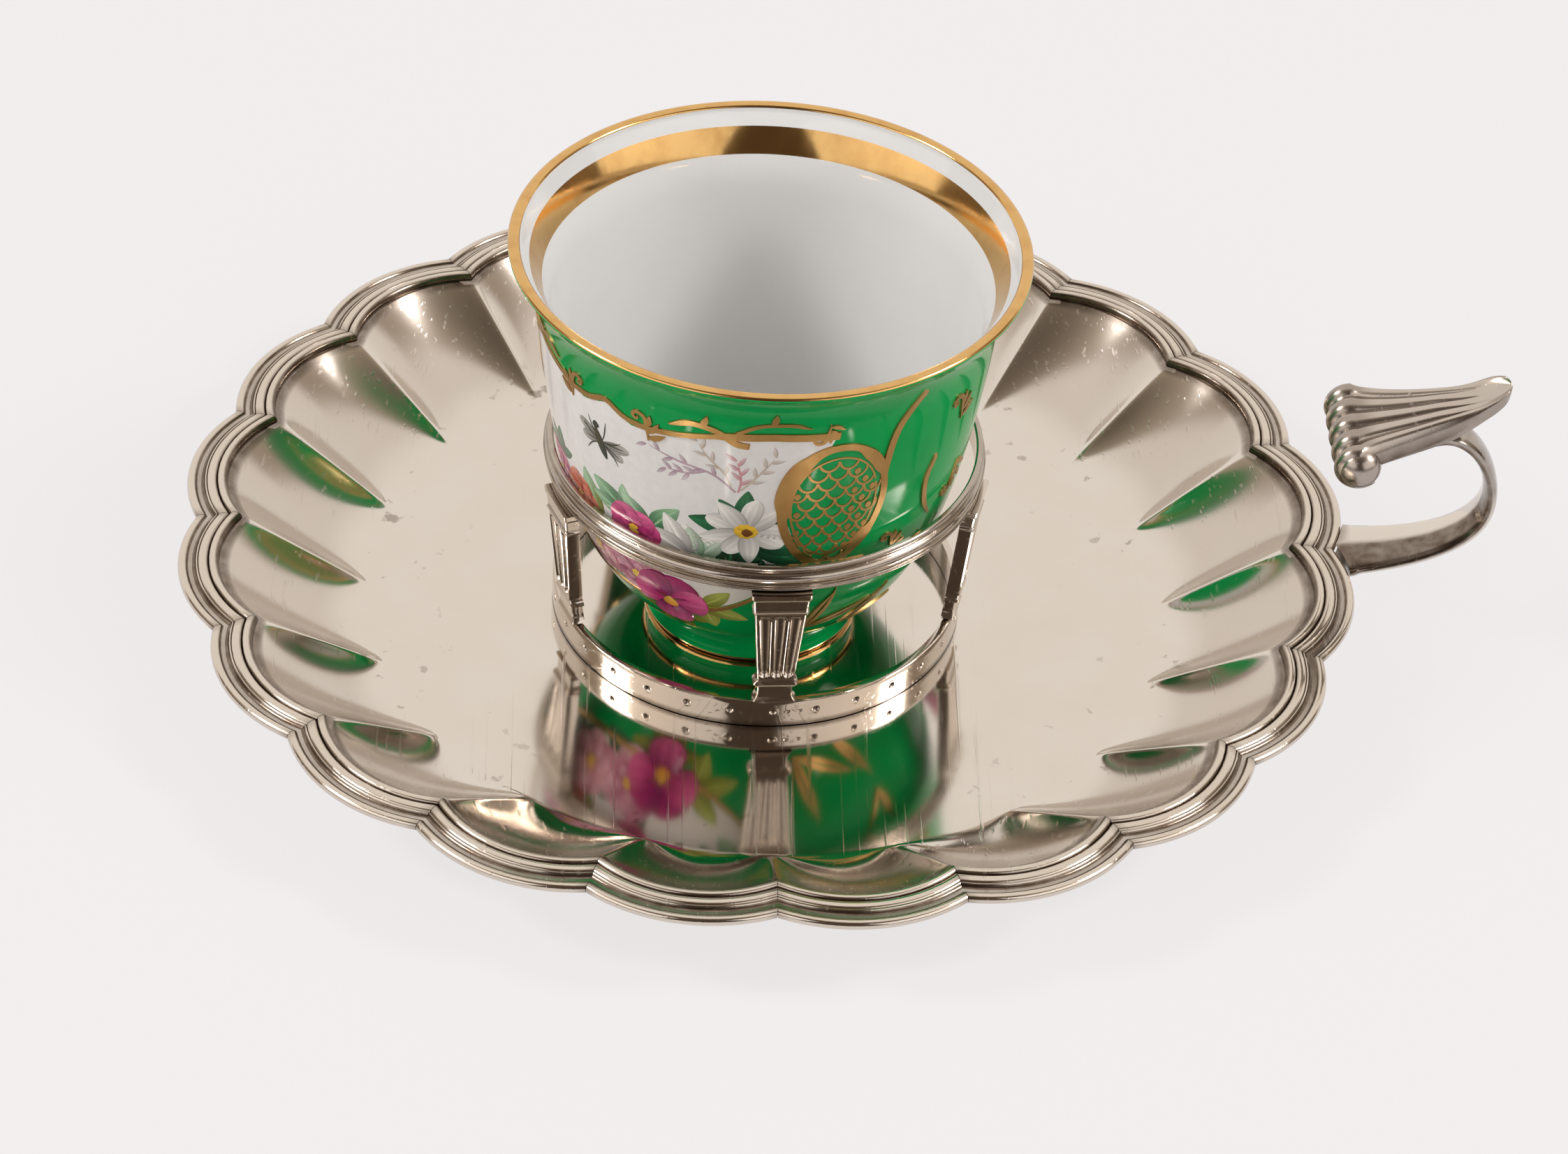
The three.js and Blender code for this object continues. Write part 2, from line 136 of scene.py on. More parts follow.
SHELL_SAG = 0.25  # how far the shell's underside bellies down
TIP_DEPTH = 0.6  # the tip's depth as a share of the shell's
TIP_UNDER = 0.55  # where the tip's two faces meet, as a share of its depth
TIP_ROUND = 0.05  # the tip's rounding as a share of the length, in section and in plan
TIP_PLAN = 0.13
BALL_HALF = 3.2
BALL_INSET = 2.4

# The cup's gilt lines, as heights from and to, its lip, and the steps along its section
FOOT_LINE = (-1.0, 0.85)
WAIST_LINE = (4.7, 5.4)
LIP_LINE = 69.1
LIP_WALL = 1.3  # the wall thins to this at the lip
LIP_ROUND = 0.65
GOLD_BAND = (62.6, 66.6)
FOOT_RUN = FOOT_RADIUS + 2.8  # length of the section from the middle of the underside to the foot's edge
OUTSIDE_STEP = 0.42
INSIDE_STEP = 0.5
LIP_POINTS = 12

# The painting's layers and the places of points on a stroke and on a leaf
PAINT = 0.015  # the lowest layer of paint lies this much over the glaze
LEVEL = 0.006  # each layer of paint lies this much over the one below
SUNK = -0.03  # the edges of a patch go this far under the glaze
STROKE = np.array([-1, -0.94, 0, 0.94, 1])[None, :]  # places across a brush stroke
LEAF_ALONG = np.array([0, 0.02, 0.1, 0.2, 0.32, 0.45, 0.58, 0.7, 0.8, 0.88, 0.94, 0.98, 1.0])[:, None]
LEAF_ACROSS = np.array([-1, -0.96, -0.72, -0.45, -0.16, 0, 0.16, 0.45, 0.72, 0.96, 1])[None, :]

# The main panel's wavy upper edge: degrees from its middle, and lengths up the cup
PANEL_TOP = ((0, 10, 24, 42, 56, 77), (63.0, 61.0, 61.8, 63.8, 64.4, 64.0))
# Centre and half width in degrees, foot, how far the top lies under PANEL_TOP, and rise of the foot's ends
MAIN_PANEL = (-134.0, 61.0, 20.5, 0.0, 16.5)
SMALL_PANEL = (46.0, 30.0, 30.0, 1.0, 12.0)
CARTOUCHE_OFFSET = 61.4  # degrees from the main panel's middle
CARTOUCHE_HEIGHT = 48.8
CARTOUCHE_HALF = (8.2, 12.6)

# Colours and wear of the silver, the gilding and the glazes
SILVER = (0.90, 0.845, 0.775)
WARM_BLOOM = (0.98, 0.955, 0.935)
# a tarnish brown: real tarnish in the small spots and at the mitre joints, painted shade in the hollows and
# on darker faces
TARNISH_AND_SHADE = (0.125, 0.088, 0.062)
DULL_BROWN = (0.42, 0.33, 0.27)
GREEN = (0.002, 0.36, 0.085)
DEEP_GREEN = (0.0015, 0.28, 0.06)
PORCELAIN = (0.80, 0.795, 0.785)
GOLD = (0.80, 0.50, 0.19)
RED_GOLD = (0.58, 0.29, 0.09)
SCRATCH_TURNS = (0.5, 2.0, 2.8)
SPOT_STRENGTH = 0.5
PETAL_BROWN = 0.35
PETAL_DULL = 0.08
TARNISH_DULL = 0.1

# How much painted shade, in a tarnish brown, lies in each hollow or darker face, from none to one; at the
# mitre joints it is tarnish
COVE_SHADE = 0.9
BEAD_SHADE = 0.3
UNDERSIDE_SHADE = 0.2
MITRE_TARNISH = 0.45
BAND_FOOT_SHADE = 0.8
COLLAR_SHADE = 0.38
FLUTE_SHADE = 0.4
CAPITAL_SHADE = 0.6
STRAP_ROOT_SHADE = 0.5
STRAP_TOP_SHADE = 0.6
SHELL_SHADE = 0.5
FAN_SHADE = 0.12
BALL_SHADE = 0.4

# Paints
MAGENTA = (0.40, 0.008, 0.13)
PURPLE = (0.22, 0.006, 0.11)
PINK = (0.74, 0.12, 0.31)
PALE_PINK = (0.84, 0.50, 0.56)
RED = (0.46, 0.045, 0.02)
YELLOW = (0.80, 0.50, 0.05)
ORANGE = (0.8, 0.3, 0.03)
WHITE = (0.86, 0.84, 0.78)
GREY = (0.52, 0.50, 0.47)
DARK_LEAF = (0.012, 0.055, 0.028)
MID_LEAF = (0.03, 0.17, 0.07)
PALE_LEAF = (0.30, 0.50, 0.30)
OLIVE = (0.24, 0.27, 0.035)
BROWN = (0.17, 0.06, 0.02)
GROUND = (0.80, 0.785, 0.76)
SHADED_GROUND = (0.78, 0.70, 0.62)
GILT = (0.8, 0.5, 0.19)

# Studio, in metres and degrees
FLOOR_SIZE = 30.0
FLOOR_DROP = -0.0002  # the floor lies this little under the saucer
FLOOR_WHITE = (0.885, 0.862, 0.866)
LAMP_DISTANCE = 1.5
LAMP_COLOUR = (1, 0.98, 0.97)
# For each pair of lamps: name, turn from the camera's side, elevation, size and power
LAMPS = (("softbox", 54, 28, (1.8, 1.0), 6.0), ("spot", 85, 42, (0.3, 0.3), 9.0))
LOW_ROOM = (0.185, 0.141, 0.109)
HIGH_ROOM = (0.435, 0.353, 0.272)
CAMERA_ROOM = (0.09, 0.065, 0.047)
PALE_ROOM = (0.98, 0.92, 0.86)
FILL_LIGHT = (0.23, 0.225, 0.22)  # the room's even light on the porcelain and the paint
SHADOW_SHARE = 0.16  # how much of the floor's own shading shows where the camera or a reflection sees it

# The camera as fitted to the photograph, in millimetres and degrees
CAMERA_ELEVATION = 38.11
CAMERA_ROLL = 3.78
CAMERA_DISTANCE = 851.54
CAMERA_SHIFT = (4.26, 4.13)
CAMERA_TURN = -3.4
CAMERA_CENTRE = (1.2, 0.0, -0.2)
CAMERA_LENS = 119.8

# Sizes that follow
lobe_angle = 2 * math.pi / LOBE_COUNT
notch_radius = RIM_RADIUS - LOBE_DEPTH
lobe_centre = (RIM_RADIUS**2 - notch_radius**2) / (2 * (RIM_RADIUS - notch_radius * math.cos(lobe_angle / 2)))
lobe_radius = RIM_RADIUS - lobe_centre
flange_top = SHEET + WELL_DEPTH
holder_foot = SHEET + SOLDER
band_top = holder_foot + BAND_HEIGHT
collar_foot = band_top + POST_HEIGHT + 2 * SOLDER
cup_foot = SHEET + SOLDER
cup_x = HOLDER_OFFSET + CUP_GAP - CUP_PLAY


def lerp(a, b, share):
    return a + (b - a) * share


def smooth(low, high, value):
    share = np.clip((value - low) / (high - low), 0, 1)
    return share * share * (3 - 2 * share)


def quarter_round(share):
    """One at nought, falling as a quarter circle to nothing at one."""
    return np.sqrt(np.clip(1 - np.clip(share, 0, 1) ** 2, 0, 1))


def joined(*parts):
    """Points from their coordinates."""
    return np.stack(np.broadcast_arrays(*parts), axis=-1)


def polar(radius, angle, z):
    return joined(radius * np.cos(angle), radius * np.sin(angle), z)


def turned(x, y, turn):
    return x * math.cos(turn) - y * math.sin(turn), x * math.sin(turn) + y * math.cos(turn)


def full_turn(steps):
    return np.linspace(0, 2 * math.pi, steps, endpoint=False)


def unit(vectors):
    return vectors / np.linalg.norm(vectors, axis=-1)[..., None]


def grid_quads(rows, columns, close_rows=False, close_columns=False):
    """Corner numbers of the quads of a grid of points."""
    i, j = np.meshgrid(
        np.arange(rows if close_rows else rows - 1),
        np.arange(columns if close_columns else columns - 1),
        indexing="ij",
    )
    i_next = (i + 1) % rows
    j_next = (j + 1) % columns
    corners = [i * columns + j, i * columns + j_next, i_next * columns + j_next, i_next * columns + j]
    return joined(*corners).reshape(-1, 4)


def add_piece(name, points, faces, materials, body, nodes=(), values=None, face_slots=None, sharp=38):
    """One named piece: its mesh, its point values for the materials, and the solids that it stands for."""
    mesh = bpy.data.meshes.new(name)
    corners = [list(map(int, face)) for face in faces]
    mesh.from_pydata((np.asarray(points).reshape(-1, 3) * MM).tolist(), [], corners)
    for material in materials:
        mesh.materials.append(material)
    if face_slots is not None:
        mesh.polygons.foreach_set("material_index", np.asarray(face_slots, np.int32))
    for key, value in (values or {}).items():
        value = np.asarray(value, float)
        wide = value.shape[-1] == 4
        attribute = mesh.attributes.new(key, "FLOAT_COLOR" if wide else "FLOAT", "POINT")
        attribute.data.foreach_set("color" if wide else "value", value.ravel().astype(np.float32))
    clean_mesh(mesh)
    mesh.shade_smooth()
    mesh.set_sharp_from_angle(angle=math.radians(sharp))
    piece = bpy.data.objects.new(name, mesh)
    bpy.context.scene.collection.objects.link(piece)
    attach(piece, body)
    if nodes:
        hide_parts(*nodes)


def add_silver(name, points, faces, slot, nodes, hollow, sharp=38, **values):
    """A piece of the saucer, in the silver of its slot."""
    # the hollow values set where painted shade darkens the silver
    values = {"hollow": np.asarray(hollow), **values}
    values = {key: value.ravel() for key, value in values.items()}
    add_piece(name, points, faces, [SILVERS[slot]], "saucer", nodes, values, sharp=sharp)


def clean_mesh(mesh):
    """Joins coincident points and turns the faces outwards."""
    work = bmesh.new()
    work.from_mesh(mesh)
    bmesh.ops.remove_doubles(work, verts=work.verts, dist=MERGE * MM)
    bmesh.ops.dissolve_degenerate(work, edges=work.edges, dist=MERGE * MM)
    bmesh.ops.recalc_face_normals(work, faces=work.faces)
    work.to_mesh(mesh)
    work.free()


def skin_faces(ring_count, ring_size):
    """Faces of a solid skinned over closed rings, with a filled ring at each end."""
    faces = grid_quads(ring_count, ring_size, close_columns=True).tolist()
    faces.append(list(range(ring_size)))
    faces.append(list(range((ring_count - 1) * ring_size, ring_count * ring_size)))
    return faces


def arc(centre, radii, start, end, steps):
    """Points of an elliptic arc, in degrees."""
    turn = np.radians(np.linspace(start, end, steps))
    return joined(centre[0] + radii[0] * np.cos(turn), centre[1] + radii[1] * np.sin(turn))


def bezier(controls, steps):
    share = np.linspace(0, 1, steps)[:, None]
    points = [np.repeat(np.array([c], float), steps, axis=0) for c in controls]
    while len(points) > 1:
        points = [lerp(a, b, share) for a, b in zip(points, points[1:])]
    return points[0]


def path_length(points):
    """Length along a path up to each of its points."""
    return np.concatenate([[0], np.cumsum(np.linalg.norm(np.diff(points, axis=0), axis=1))])


def even_path(points, count):
    """The same path with evenly spaced points, and the unit tangent at each."""
    length = path_length(points)
    wanted = np.linspace(0, length[-1], count)
    even = joined(*[np.interp(wanted, length, line) for line in points.T])
    return even, unit(np.gradient(even, axis=0))


class Nodes:
    """A short way to write the nodes of a material or of the world."""

    def __init__(self, tree):
        self.tree = tree

    def add(self, kind, **settings):
        node = self.tree.nodes.new(kind)
        for key, value in settings.items():
            setattr(node, key, value)
        return node

    def put(self, socket, value):
        """Gives a socket its number or colour, or links the output that drives it."""
        if isinstance(value, bpy.types.NodeSocket):
            self.tree.links.new(value, socket)
        elif isinstance(value, tuple):
            socket.default_value = (*value, 1)
        else:
            socket.default_value = value

    def fill(self, node, **values):
        """Fills a node's sockets by name, with _ for a space."""
        for key, value in values.items():
            self.put(node.inputs[key.replace("_", " ")], value)

    def remap(self, source, low, high, to_low=0, to_high=1):
        node = self.add("ShaderNodeMapRange", clamp=True)
        self.fill(node, Value=source, From_Min=low, From_Max=high, To_Min=to_low, To_Max=to_high)
        return node.outputs["Result"]

    def maths(self, operation, a, b):
        node = self.add("ShaderNodeMath", operation=operation, use_clamp=True)
        self.put(node.inputs[0], a)
        self.put(node.inputs[1], b)
        return node.outputs["Value"]

    def mix(self, share, a, b):
        node = self.add("ShaderNodeMix", data_type="RGBA")
        first, second = [socket for socket in node.inputs if socket.type == "RGBA"]
        self.fill(node, Factor=share)
        self.put(first, a)
        self.put(second, b)
        return [socket for socket in node.outputs if socket.type == "RGBA"][0]


class Finish(Nodes):
    """One material's nodes, round its main shader."""

    def __init__(self, name):
        self.material = bpy.data.materials.new(name)
        self.material.use_nodes = True
        super().__init__(self.material.node_tree)
        self.shader = self.tree.nodes["Principled BSDF"]
        self.place = self.add("ShaderNodeTexCoord").outputs["Object"]

    def noise(self, scale, detail=3.0, stretch=(1, 1, 1), turn=0.0):
        mapping = self.add("ShaderNodeMapping")
        self.fill(mapping, Vector=self.place, Scale=Vector(stretch), Rotation=Vector((0, 0, turn)))
        texture = self.add("ShaderNodeTexNoise")
        self.fill(texture, Vector=mapping.outputs["Vector"], Scale=scale, Detail=detail)
        return texture.outputs["Fac"]

    def attribute(self, name, output="Fac"):
        return self.add("ShaderNodeAttribute", attribute_name=name).outputs[output]

    def bump(self, height, strength, distance):
        node = self.add("ShaderNodeBump")
        self.fill(node, Height=height, Strength=strength, Distance=distance)
        return node.outputs["Normal"]

    def done(self, **values):
        self.fill(self.shader, **values)
        return self.material


def tinted(colour, by):
    return tuple(c * k for c, k in zip(colour, by))


def silver(name, polish, scratch, stain, tone):
    """Worn silver: fine scratches, a faint bloom, duller petals, small spots, and, in the hollows and on
    darker faces, painted shade in a tarnish brown.
    """
    n = Finish(name)
    bloom = n.remap(n.noise(70, 4), 0.35, 0.75)
    scratches = [n.noise(900, 2, (1, 0.02, 1), turn) for turn in SCRATCH_TURNS]
    first, second, third = (n.remap(noise, 0.66, 0.72) for noise in scratches)
    lines = n.maths("MAXIMUM", n.maths("MAXIMUM", first, second), third)
    # painted shade from the hollow values, broken up by noise, plus small real tarnish spots
    patchy = n.maths("MULTIPLY", n.attribute("hollow"), n.remap(n.noise(420, 4), 0.3, 0.7, stain, 1))
    spots = n.maths("MULTIPLY", n.attribute("rubbed"), n.remap(n.noise(260, 5), 0.65, 0.7, 0, SPOT_STRENGTH))
    dulled = n.attribute("dulled")
    clean = tinted(SILVER, tone)
    warm = n.mix(bloom, clean, tinted(clean, WARM_BLOOM))
    browned = n.mix(n.maths("MULTIPLY", dulled, PETAL_BROWN), warm, DULL_BROWN)
    colour = n.mix(n.maths("MAXIMUM", patchy, spots), browned, TARNISH_AND_SHADE)
    scratched = n.remap(lines, 0, 1, polish, polish + scratch)
    worn = n.maths("ADD", scratched, n.maths("MULTIPLY", patchy, TARNISH_DULL))
    softer = n.maths("ADD", n.remap(bloom, 0, 1, 0, 0.03), n.maths("MULTIPLY", dulled, PETAL_DULL))
    normal = n.bump(n.maths("ADD", n.maths("MULTIPLY", lines, 0.25), n.noise(55, 2)), 0.09, 0.0004)
    return n.done(Base_Color=colour, Roughness=n.maths("ADD", worn, softer), Metallic=1.0, Normal=normal)


def gold(name, polish, tone):
    """Burnished gilding, thinner and redder where it is rubbed."""
    n = Finish(name)
    rubbed = n.remap(n.noise(260, 4, (1, 1, 0.6)), 0.45, 0.8, 0, 0.55)
    clean, worn = (tinted(colour, (tone, tone, tone)) for colour in (GOLD, RED_GOLD))
    roughness = n.remap(rubbed, 0, 1, polish, polish + 0.18)
    normal = n.bump(n.noise(400, 3), 0.05, 0.0002)
    return n.done(Base_Color=n.mix(rubbed, clean, worn), Roughness=roughness, Metallic=1.0, Normal=normal)


def glaze(name, colour, deeper, patch_scale, shine):
    """Glossy porcelain glaze with a slightly uneven ground and a soft ripple."""
    n = Finish(name)
    ground = n.mix(n.remap(n.noise(patch_scale, 4), 0.3, 0.75), colour, deeper)
    roughness = n.remap(n.noise(300, 3), 0.3, 0.7, 0.05, 0.1)
    normal = n.bump(n.noise(120, 2), 0.05, 0.0004)
    return n.done(Base_Color=ground, Roughness=roughness, Normal=normal, IOR=1.52, Specular_IOR_Level=shine)


def enamel(name):
    """Painted enamel: each stroke's own colour, broken by brush marks, under a soft gloss."""
    n = Finish(name)
    marks = n.remap(n.noise(700, 4), 0.35, 0.75, 0, 0.16)
    colour = n.attribute("paint", "Color")
    darker = n.add("ShaderNodeHueSaturation")
    n.fill(darker, Saturation=1.1, Value=0.6, Color=colour)
    brushed = n.mix(marks, colour, darker.outputs["Color"])
    roughness = n.remap(marks, 0, 0.16, 0.1, 0.18)
    normal = n.bump(n.noise(900, 3), 0.06, 0.0002)
    return n.done(Base_Color=brushed, Roughness=roughness, Normal=normal, IOR=1.5, Specular_IOR_Level=0.25)


# For each slot: roughness, how much rougher the scratches are, the least share of a hollow's painted shade
# and tarnish that the noise leaves, and the tone, a darkening of the silver that is painted shade
SILVER_FINISHES = {
    "polished_silver": (0.085, 0.1, 0.7, (0.8, 0.8, 0.8)),
    "reeded_silver": (0.1, 0.12, 0.8, (0.76, 0.73, 0.7)),
    "holder_silver": (0.1, 0.1, 0.75, (0.7, 0.67, 0.64)),
    "cast_silver": (0.2, 0.1, 0.8, (0.66, 0.64, 0.63)),
}
SILVERS = {slot: silver(slot, *finish) for slot, finish in SILVER_FINISHES.items()}
GREEN_GLAZE = glaze("green_glaze", GREEN, DEEP_GREEN, 45, 0.1)
WHITE_GLAZE = glaze("white_glaze", PORCELAIN, tinted(PORCELAIN, (0.965, 0.965, 0.965)), 60, 0.5)
GILDING = gold("burnished_gilding", 0.12, 0.9)
LINE_GOLD = gold("painted_gilding", 0.32, 0.66)
ENAMEL = enamel("painted_enamel")


def lobed_edge(off_crest, inset):
    across = lobe_centre * np.sin(off_crest)
    return lobe_centre * np.cos(off_crest) + np.sqrt((lobe_radius - inset) ** 2 - across**2)


def petal_edge(off_crest):
    """Outer end of the petals, with the ridge at each notch rounded."""
    edge = lobed_edge(off_crest, BORDER_WIDTH)
    steep = lobe_centre * math.sin(lobe_angle / 2) / (lobe_radius - BORDER_WIDTH)
    rise = np.tan(np.arcsin(steep)) * notch_radius * (lobe_angle / 2 - np.abs(off_crest))
    return edge + np.sqrt(rise**2 + RIDGE_ROUND**2) - rise


def make_dish(lobe_steps=40, wall_steps=40):
    """The sheet: floor, petals and flange above and the same under it, with its spots, duller petals, and
    painted shade in the cove, under the border's bead and on the underside.
    """
    turn = np.linspace(-1, 1, lobe_steps, endpoint=False)
    off = np.tile(lobe_angle / 2 * (1.5 * turn - 0.5 * turn**3), LOBE_COUNT)
    angles = np.repeat((np.arange(LOBE_COUNT) + 0.5) * lobe_angle, lobe_steps) + off
    end = petal_edge(off)
    rim = lobed_edge(off, BEAD_RADIUS)
    ridge_share = 1 + RIDGE_SOFT - np.hypot(1 - np.abs(2 * off / lobe_angle), RIDGE_SOFT)
    curve = lerp(PETAL_CURVE, RIDGE_CURVE, ridge_share**2)
    floor_rings = (0, 20, 36, 48, 56, FLOOR_RADIUS - 1, FLOOR_RADIUS - 0.4, FLOOR_RADIUS)
    upper = [(np.full_like(off, r), SHEET, 0.0) for r in floor_rings]
    for t in np.linspace(0, 1, wall_steps + 1)[1:]:
        # painted shade in the cove where the petals meet the border, and on the bare flange strip
        in_cove = COVE_SHADE * float(smooth(0.955, 0.985, t))
        upper.append((lerp(FLOOR_RADIUS, end, t), SHEET + WELL_DEPTH * t**curve, in_cove))
    upper.append((lobed_edge(off, BORDER_WIDTH - FLANGE_STRIP), flange_top, COVE_SHADE))
    # painted shade on the flange under the border's bead, and over the whole underside
    upper.append((rim, flange_top, BEAD_SHADE))
    under = [(r, z - SHEET, UNDERSIDE_SHADE) for r, z, _ in reversed(upper)]
    section = upper + under
    points = np.stack([polar(r, angles, z) for r, z, _ in section])
    hollow = np.repeat([h for _, _, h in section], angles.size)
    faces = grid_quads(len(section), angles.size, close_columns=True)
    height = points[..., 2] - SHEET
    dulled = smooth(0.3, 3.0, height) * (1 - ridge_share**4)
    radius = np.hypot(points[..., 0], points[..., 1])
    near_petals = smooth(FLOOR_RADIUS - 12, FLOOR_RADIUS - 4, radius)
    rubbed = near_petals * (1 - smooth(FLOOR_RADIUS + 2, FLOOR_RADIUS + 8, radius))
    add_silver(
        "dish_raised_sheet", points, faces, "polished_silver", ["dish"], hollow, dulled=dulled, rubbed=rubbed
    )


def reed_arch(start, width, left, top, right, steps=12):
    """A half-round reed between two grooves, as insets and heights."""
    turn = np.linspace(0, math.pi, steps)
    share = (1 - np.cos(turn)) / 2
    height = lerp(left, right, share) + (top - (left + right) / 2) * np.sin(turn)
    return joined(start + width * share, height)


def border_outline():
    """The moulding's section as insets and heights over the flange, and how deep in a hollow each point lies,
    which sets its painted shade.

    From the rim inwards: a bead on the sheet's edge, a hollow, a fillet, a reed, the torus and its side."""
    parts = [
        arc((BEAD_RADIUS, -0.5), (BEAD_RADIUS, BEAD_RADIUS), 290, 35, 22),
        np.array([[1.55, -0.12], [1.85, -0.2], [2.2, -0.18], [2.55, -0.04], [2.82, 0.18]]),
        np.array([[2.88, 0.36], [2.98, 0.43], [3.1, 0.41], [3.2, 0.22]]),
        reed_arch(3.22, 1.65, 0.2, 0.74, 0.3)[1:],
        reed_arch(4.87, 1.7, 0.3, 0.98, 0.0, 16)[1:],
        np.array([[6.6, -0.3]]),
    ]
    outline = np.concatenate(parts)
    crest = np.interp(outline[:, 0], [0.8, 3.0, 4.05, 5.7], [0.3, 0.43, 0.74, 0.98])
    # painted shade in the grooves between the reeds and on the torus's inner side
    hollow = smooth(0.04, 0.26, crest - outline[:, 1]) * (outline[:, 0] > BEAD_RADIUS + 0.3)
    inner_side = smooth(5.8, 6.15, outline[:, 0])
    return outline, np.maximum(hollow, inner_side)


def make_border(steps=18):
    outline, hollow = border_outline()
    half_angle = lobe_angle / 2 - MITRE_GAP / 2 / notch_radius
    off = np.linspace(-half_angle, half_angle, steps)
    radius = lobed_edge(off[:, None], outline[:, 0])
    faces = skin_faces(steps, len(outline))
    near_mitre = smooth(0.9, 1.0, np.abs(off) / half_angle)[:, None]
    hollow = np.maximum(hollow, near_mitre * MITRE_TARNISH)
    for i in range(LOBE_COUNT):
        angle = off[:, None] + (i + 0.5) * lobe_angle
        points = polar(radius, angle, outline[:, 1] + flange_top + SOLDER)
        number = str(i + 1).zfill(2)
        add_silver("rim_length_" + number, points, faces, "reeded_silver", ["rim_moulding_" + number], hollow)


def cup_outside():
    """Outside of the cup from waist to lip, as radii and heights over its foot."""
    waist = np.array([WAIST_RADIUS, WAIST_HEIGHT])
    wall = np.array([WALL_RADIUS, WALL_HEIGHT])
    lip = np.array([LIP_RADIUS, WALL_HEIGHT + LIP_HEIGHT])
    slope = np.array([math.cos(BOWL_SLOPE), math.sin(BOWL_SLOPE)])
    upright = unit(lerp(unit(lip - wall), np.array([0, 1]), 0.75))
    bowl = bezier([waist, waist + slope * BOWL_PULL, wall - upright * WALL_PULL, wall], 160)
    flare = bezier([wall, wall + upright * LIP_HEIGHT * 0.65, lip], 40)
    return np.concatenate([bowl, flare[1:]])


cup_line = cup_outside()
collar_top = collar_foot + COLLAR_HEIGHT
collar_bore = float(np.interp(collar_top - cup_foot, cup_line[:, 1], cup_line[:, 0])) + CUP_PLAY
collar_radius = collar_bore + COLLAR_WALL
band_radius = collar_radius - POST_LEAN


def add_ring(name, node, profile, angles, foot, hollow, sunk=0.0):
    """A ring of the holder, turned from its section and sunk here and there."""
    points = polar(profile[:, None, 0] - sunk, angles, profile[:, None, 1] + foot)
    points = points + np.array([HOLDER_OFFSET, 0, 0])
    faces = grid_quads(len(profile), angles.size, close_rows=True, close_columns=True)
    add_silver(name, points, faces, "holder_silver", [node], hollow)


def groove(z, height, width):
    return np.exp(-(((z - height) / width) ** 2))


def make_collar(steps=360):
    """From the bottom: two thin fillets, a broad torus, a groove and a thin bead."""
    r = collar_radius
    parts = [
        np.array([[collar_bore, 0.15], [collar_bore + 0.15, 0.0], [r - 0.75, 0.0]]),
        arc((r - 0.75, 0.3), (0.3, 0.3), -90, 60, 6),
        arc((r - 0.55, 0.75), (0.25, 0.2), -60, 60, 5),
        arc((r - 0.85, 2.15), (0.85, 1.15), -62, 72, 16),
        np.array([[r - 0.78, 3.42]]),
        arc((r - 0.95, 4.15), (0.5, 0.6), -70, 90, 12),
        np.array([[collar_bore + 0.3, COLLAR_HEIGHT], [collar_bore, COLLAR_HEIGHT - 0.25]]),
    ]
    profile = np.concatenate(parts)
    z = profile[:, 1]
    grooves = groove(z, 3.42, 0.16) + groove(z, 1.0, 0.12) + groove(z, 0.58, 0.1)
    # painted shade in the grooves and over the collar's whole outer face
    hollow = np.clip(grooves + COLLAR_SHADE, 0, 1) * (profile[:, 0] > collar_bore + 0.2)
    angles = full_turn(steps)
    add_ring("holder_collar_ring", "holder_collar", profile, angles, collar_foot, np.repeat(hollow, steps))


def make_band(dot_steps=42):
    """The band on the floor, with a row of punched dots and two small trial dots beside the first post."""
    dot_rows = np.arange(1.95, 3.6, 0.12)
    heights = np.concatenate([[0.0, 0.25, 1.0, 1.6], dot_rows, [4.0, BAND_HEIGHT - BAND_BEVEL]])
    outer = joined(np.full_like(heights, band_radius), heights)
    rest = np.array([
        [band_radius - BAND_BEVEL * 0.3, BAND_HEIGHT - BAND_BEVEL * 0.3],
        [band_radius - BAND_BEVEL, BAND_HEIGHT],
        [band_radius - BAND_WALL, BAND_HEIGHT],
        [band_radius - BAND_WALL, 0.0],
    ])
    profile = np.concatenate([outer, rest])
    steps = DOT_COUNT * dot_steps
    angles = FIRST_POST + np.arange(steps) * 2 * math.pi / steps
    pitch = 2 * math.pi / DOT_COUNT
    from_dot = (angles - FIRST_POST + pitch / 2) % pitch - pitch / 2
    dots = [(from_dot, DOT_RADIUS, DOT_DEPTH)]
    dots += [(angles - FIRST_POST - share * pitch, DOT_RADIUS / 2, DOT_DEPTH / 2) for share in (0.33, 0.62)]
    sunk = np.zeros((len(profile), steps))
    for turn, size, depth in dots:
        away = np.hypot(turn * band_radius, profile[:, None, 1] - DOT_HEIGHT) / size
        cut = depth * np.clip(1 - away**2, 0, 1) - 0.08 * depth * groove(away, 1.25, 0.2)
        sunk = np.where(np.abs(cut) > np.abs(sunk), cut, sunk)
    sunk[len(outer):] = 0
    at_foot = (profile[:, 1] < 0.3)[:, None]
    # painted shade in the punched dots and at the band's foot on the dish
    hollow = np.maximum(smooth(0.06, 0.25, sunk), BAND_FOOT_SHADE * at_foot)
    add_ring("holder_band_ring", "holder_base_band", profile, angles, holder_foot, hollow, sunk)


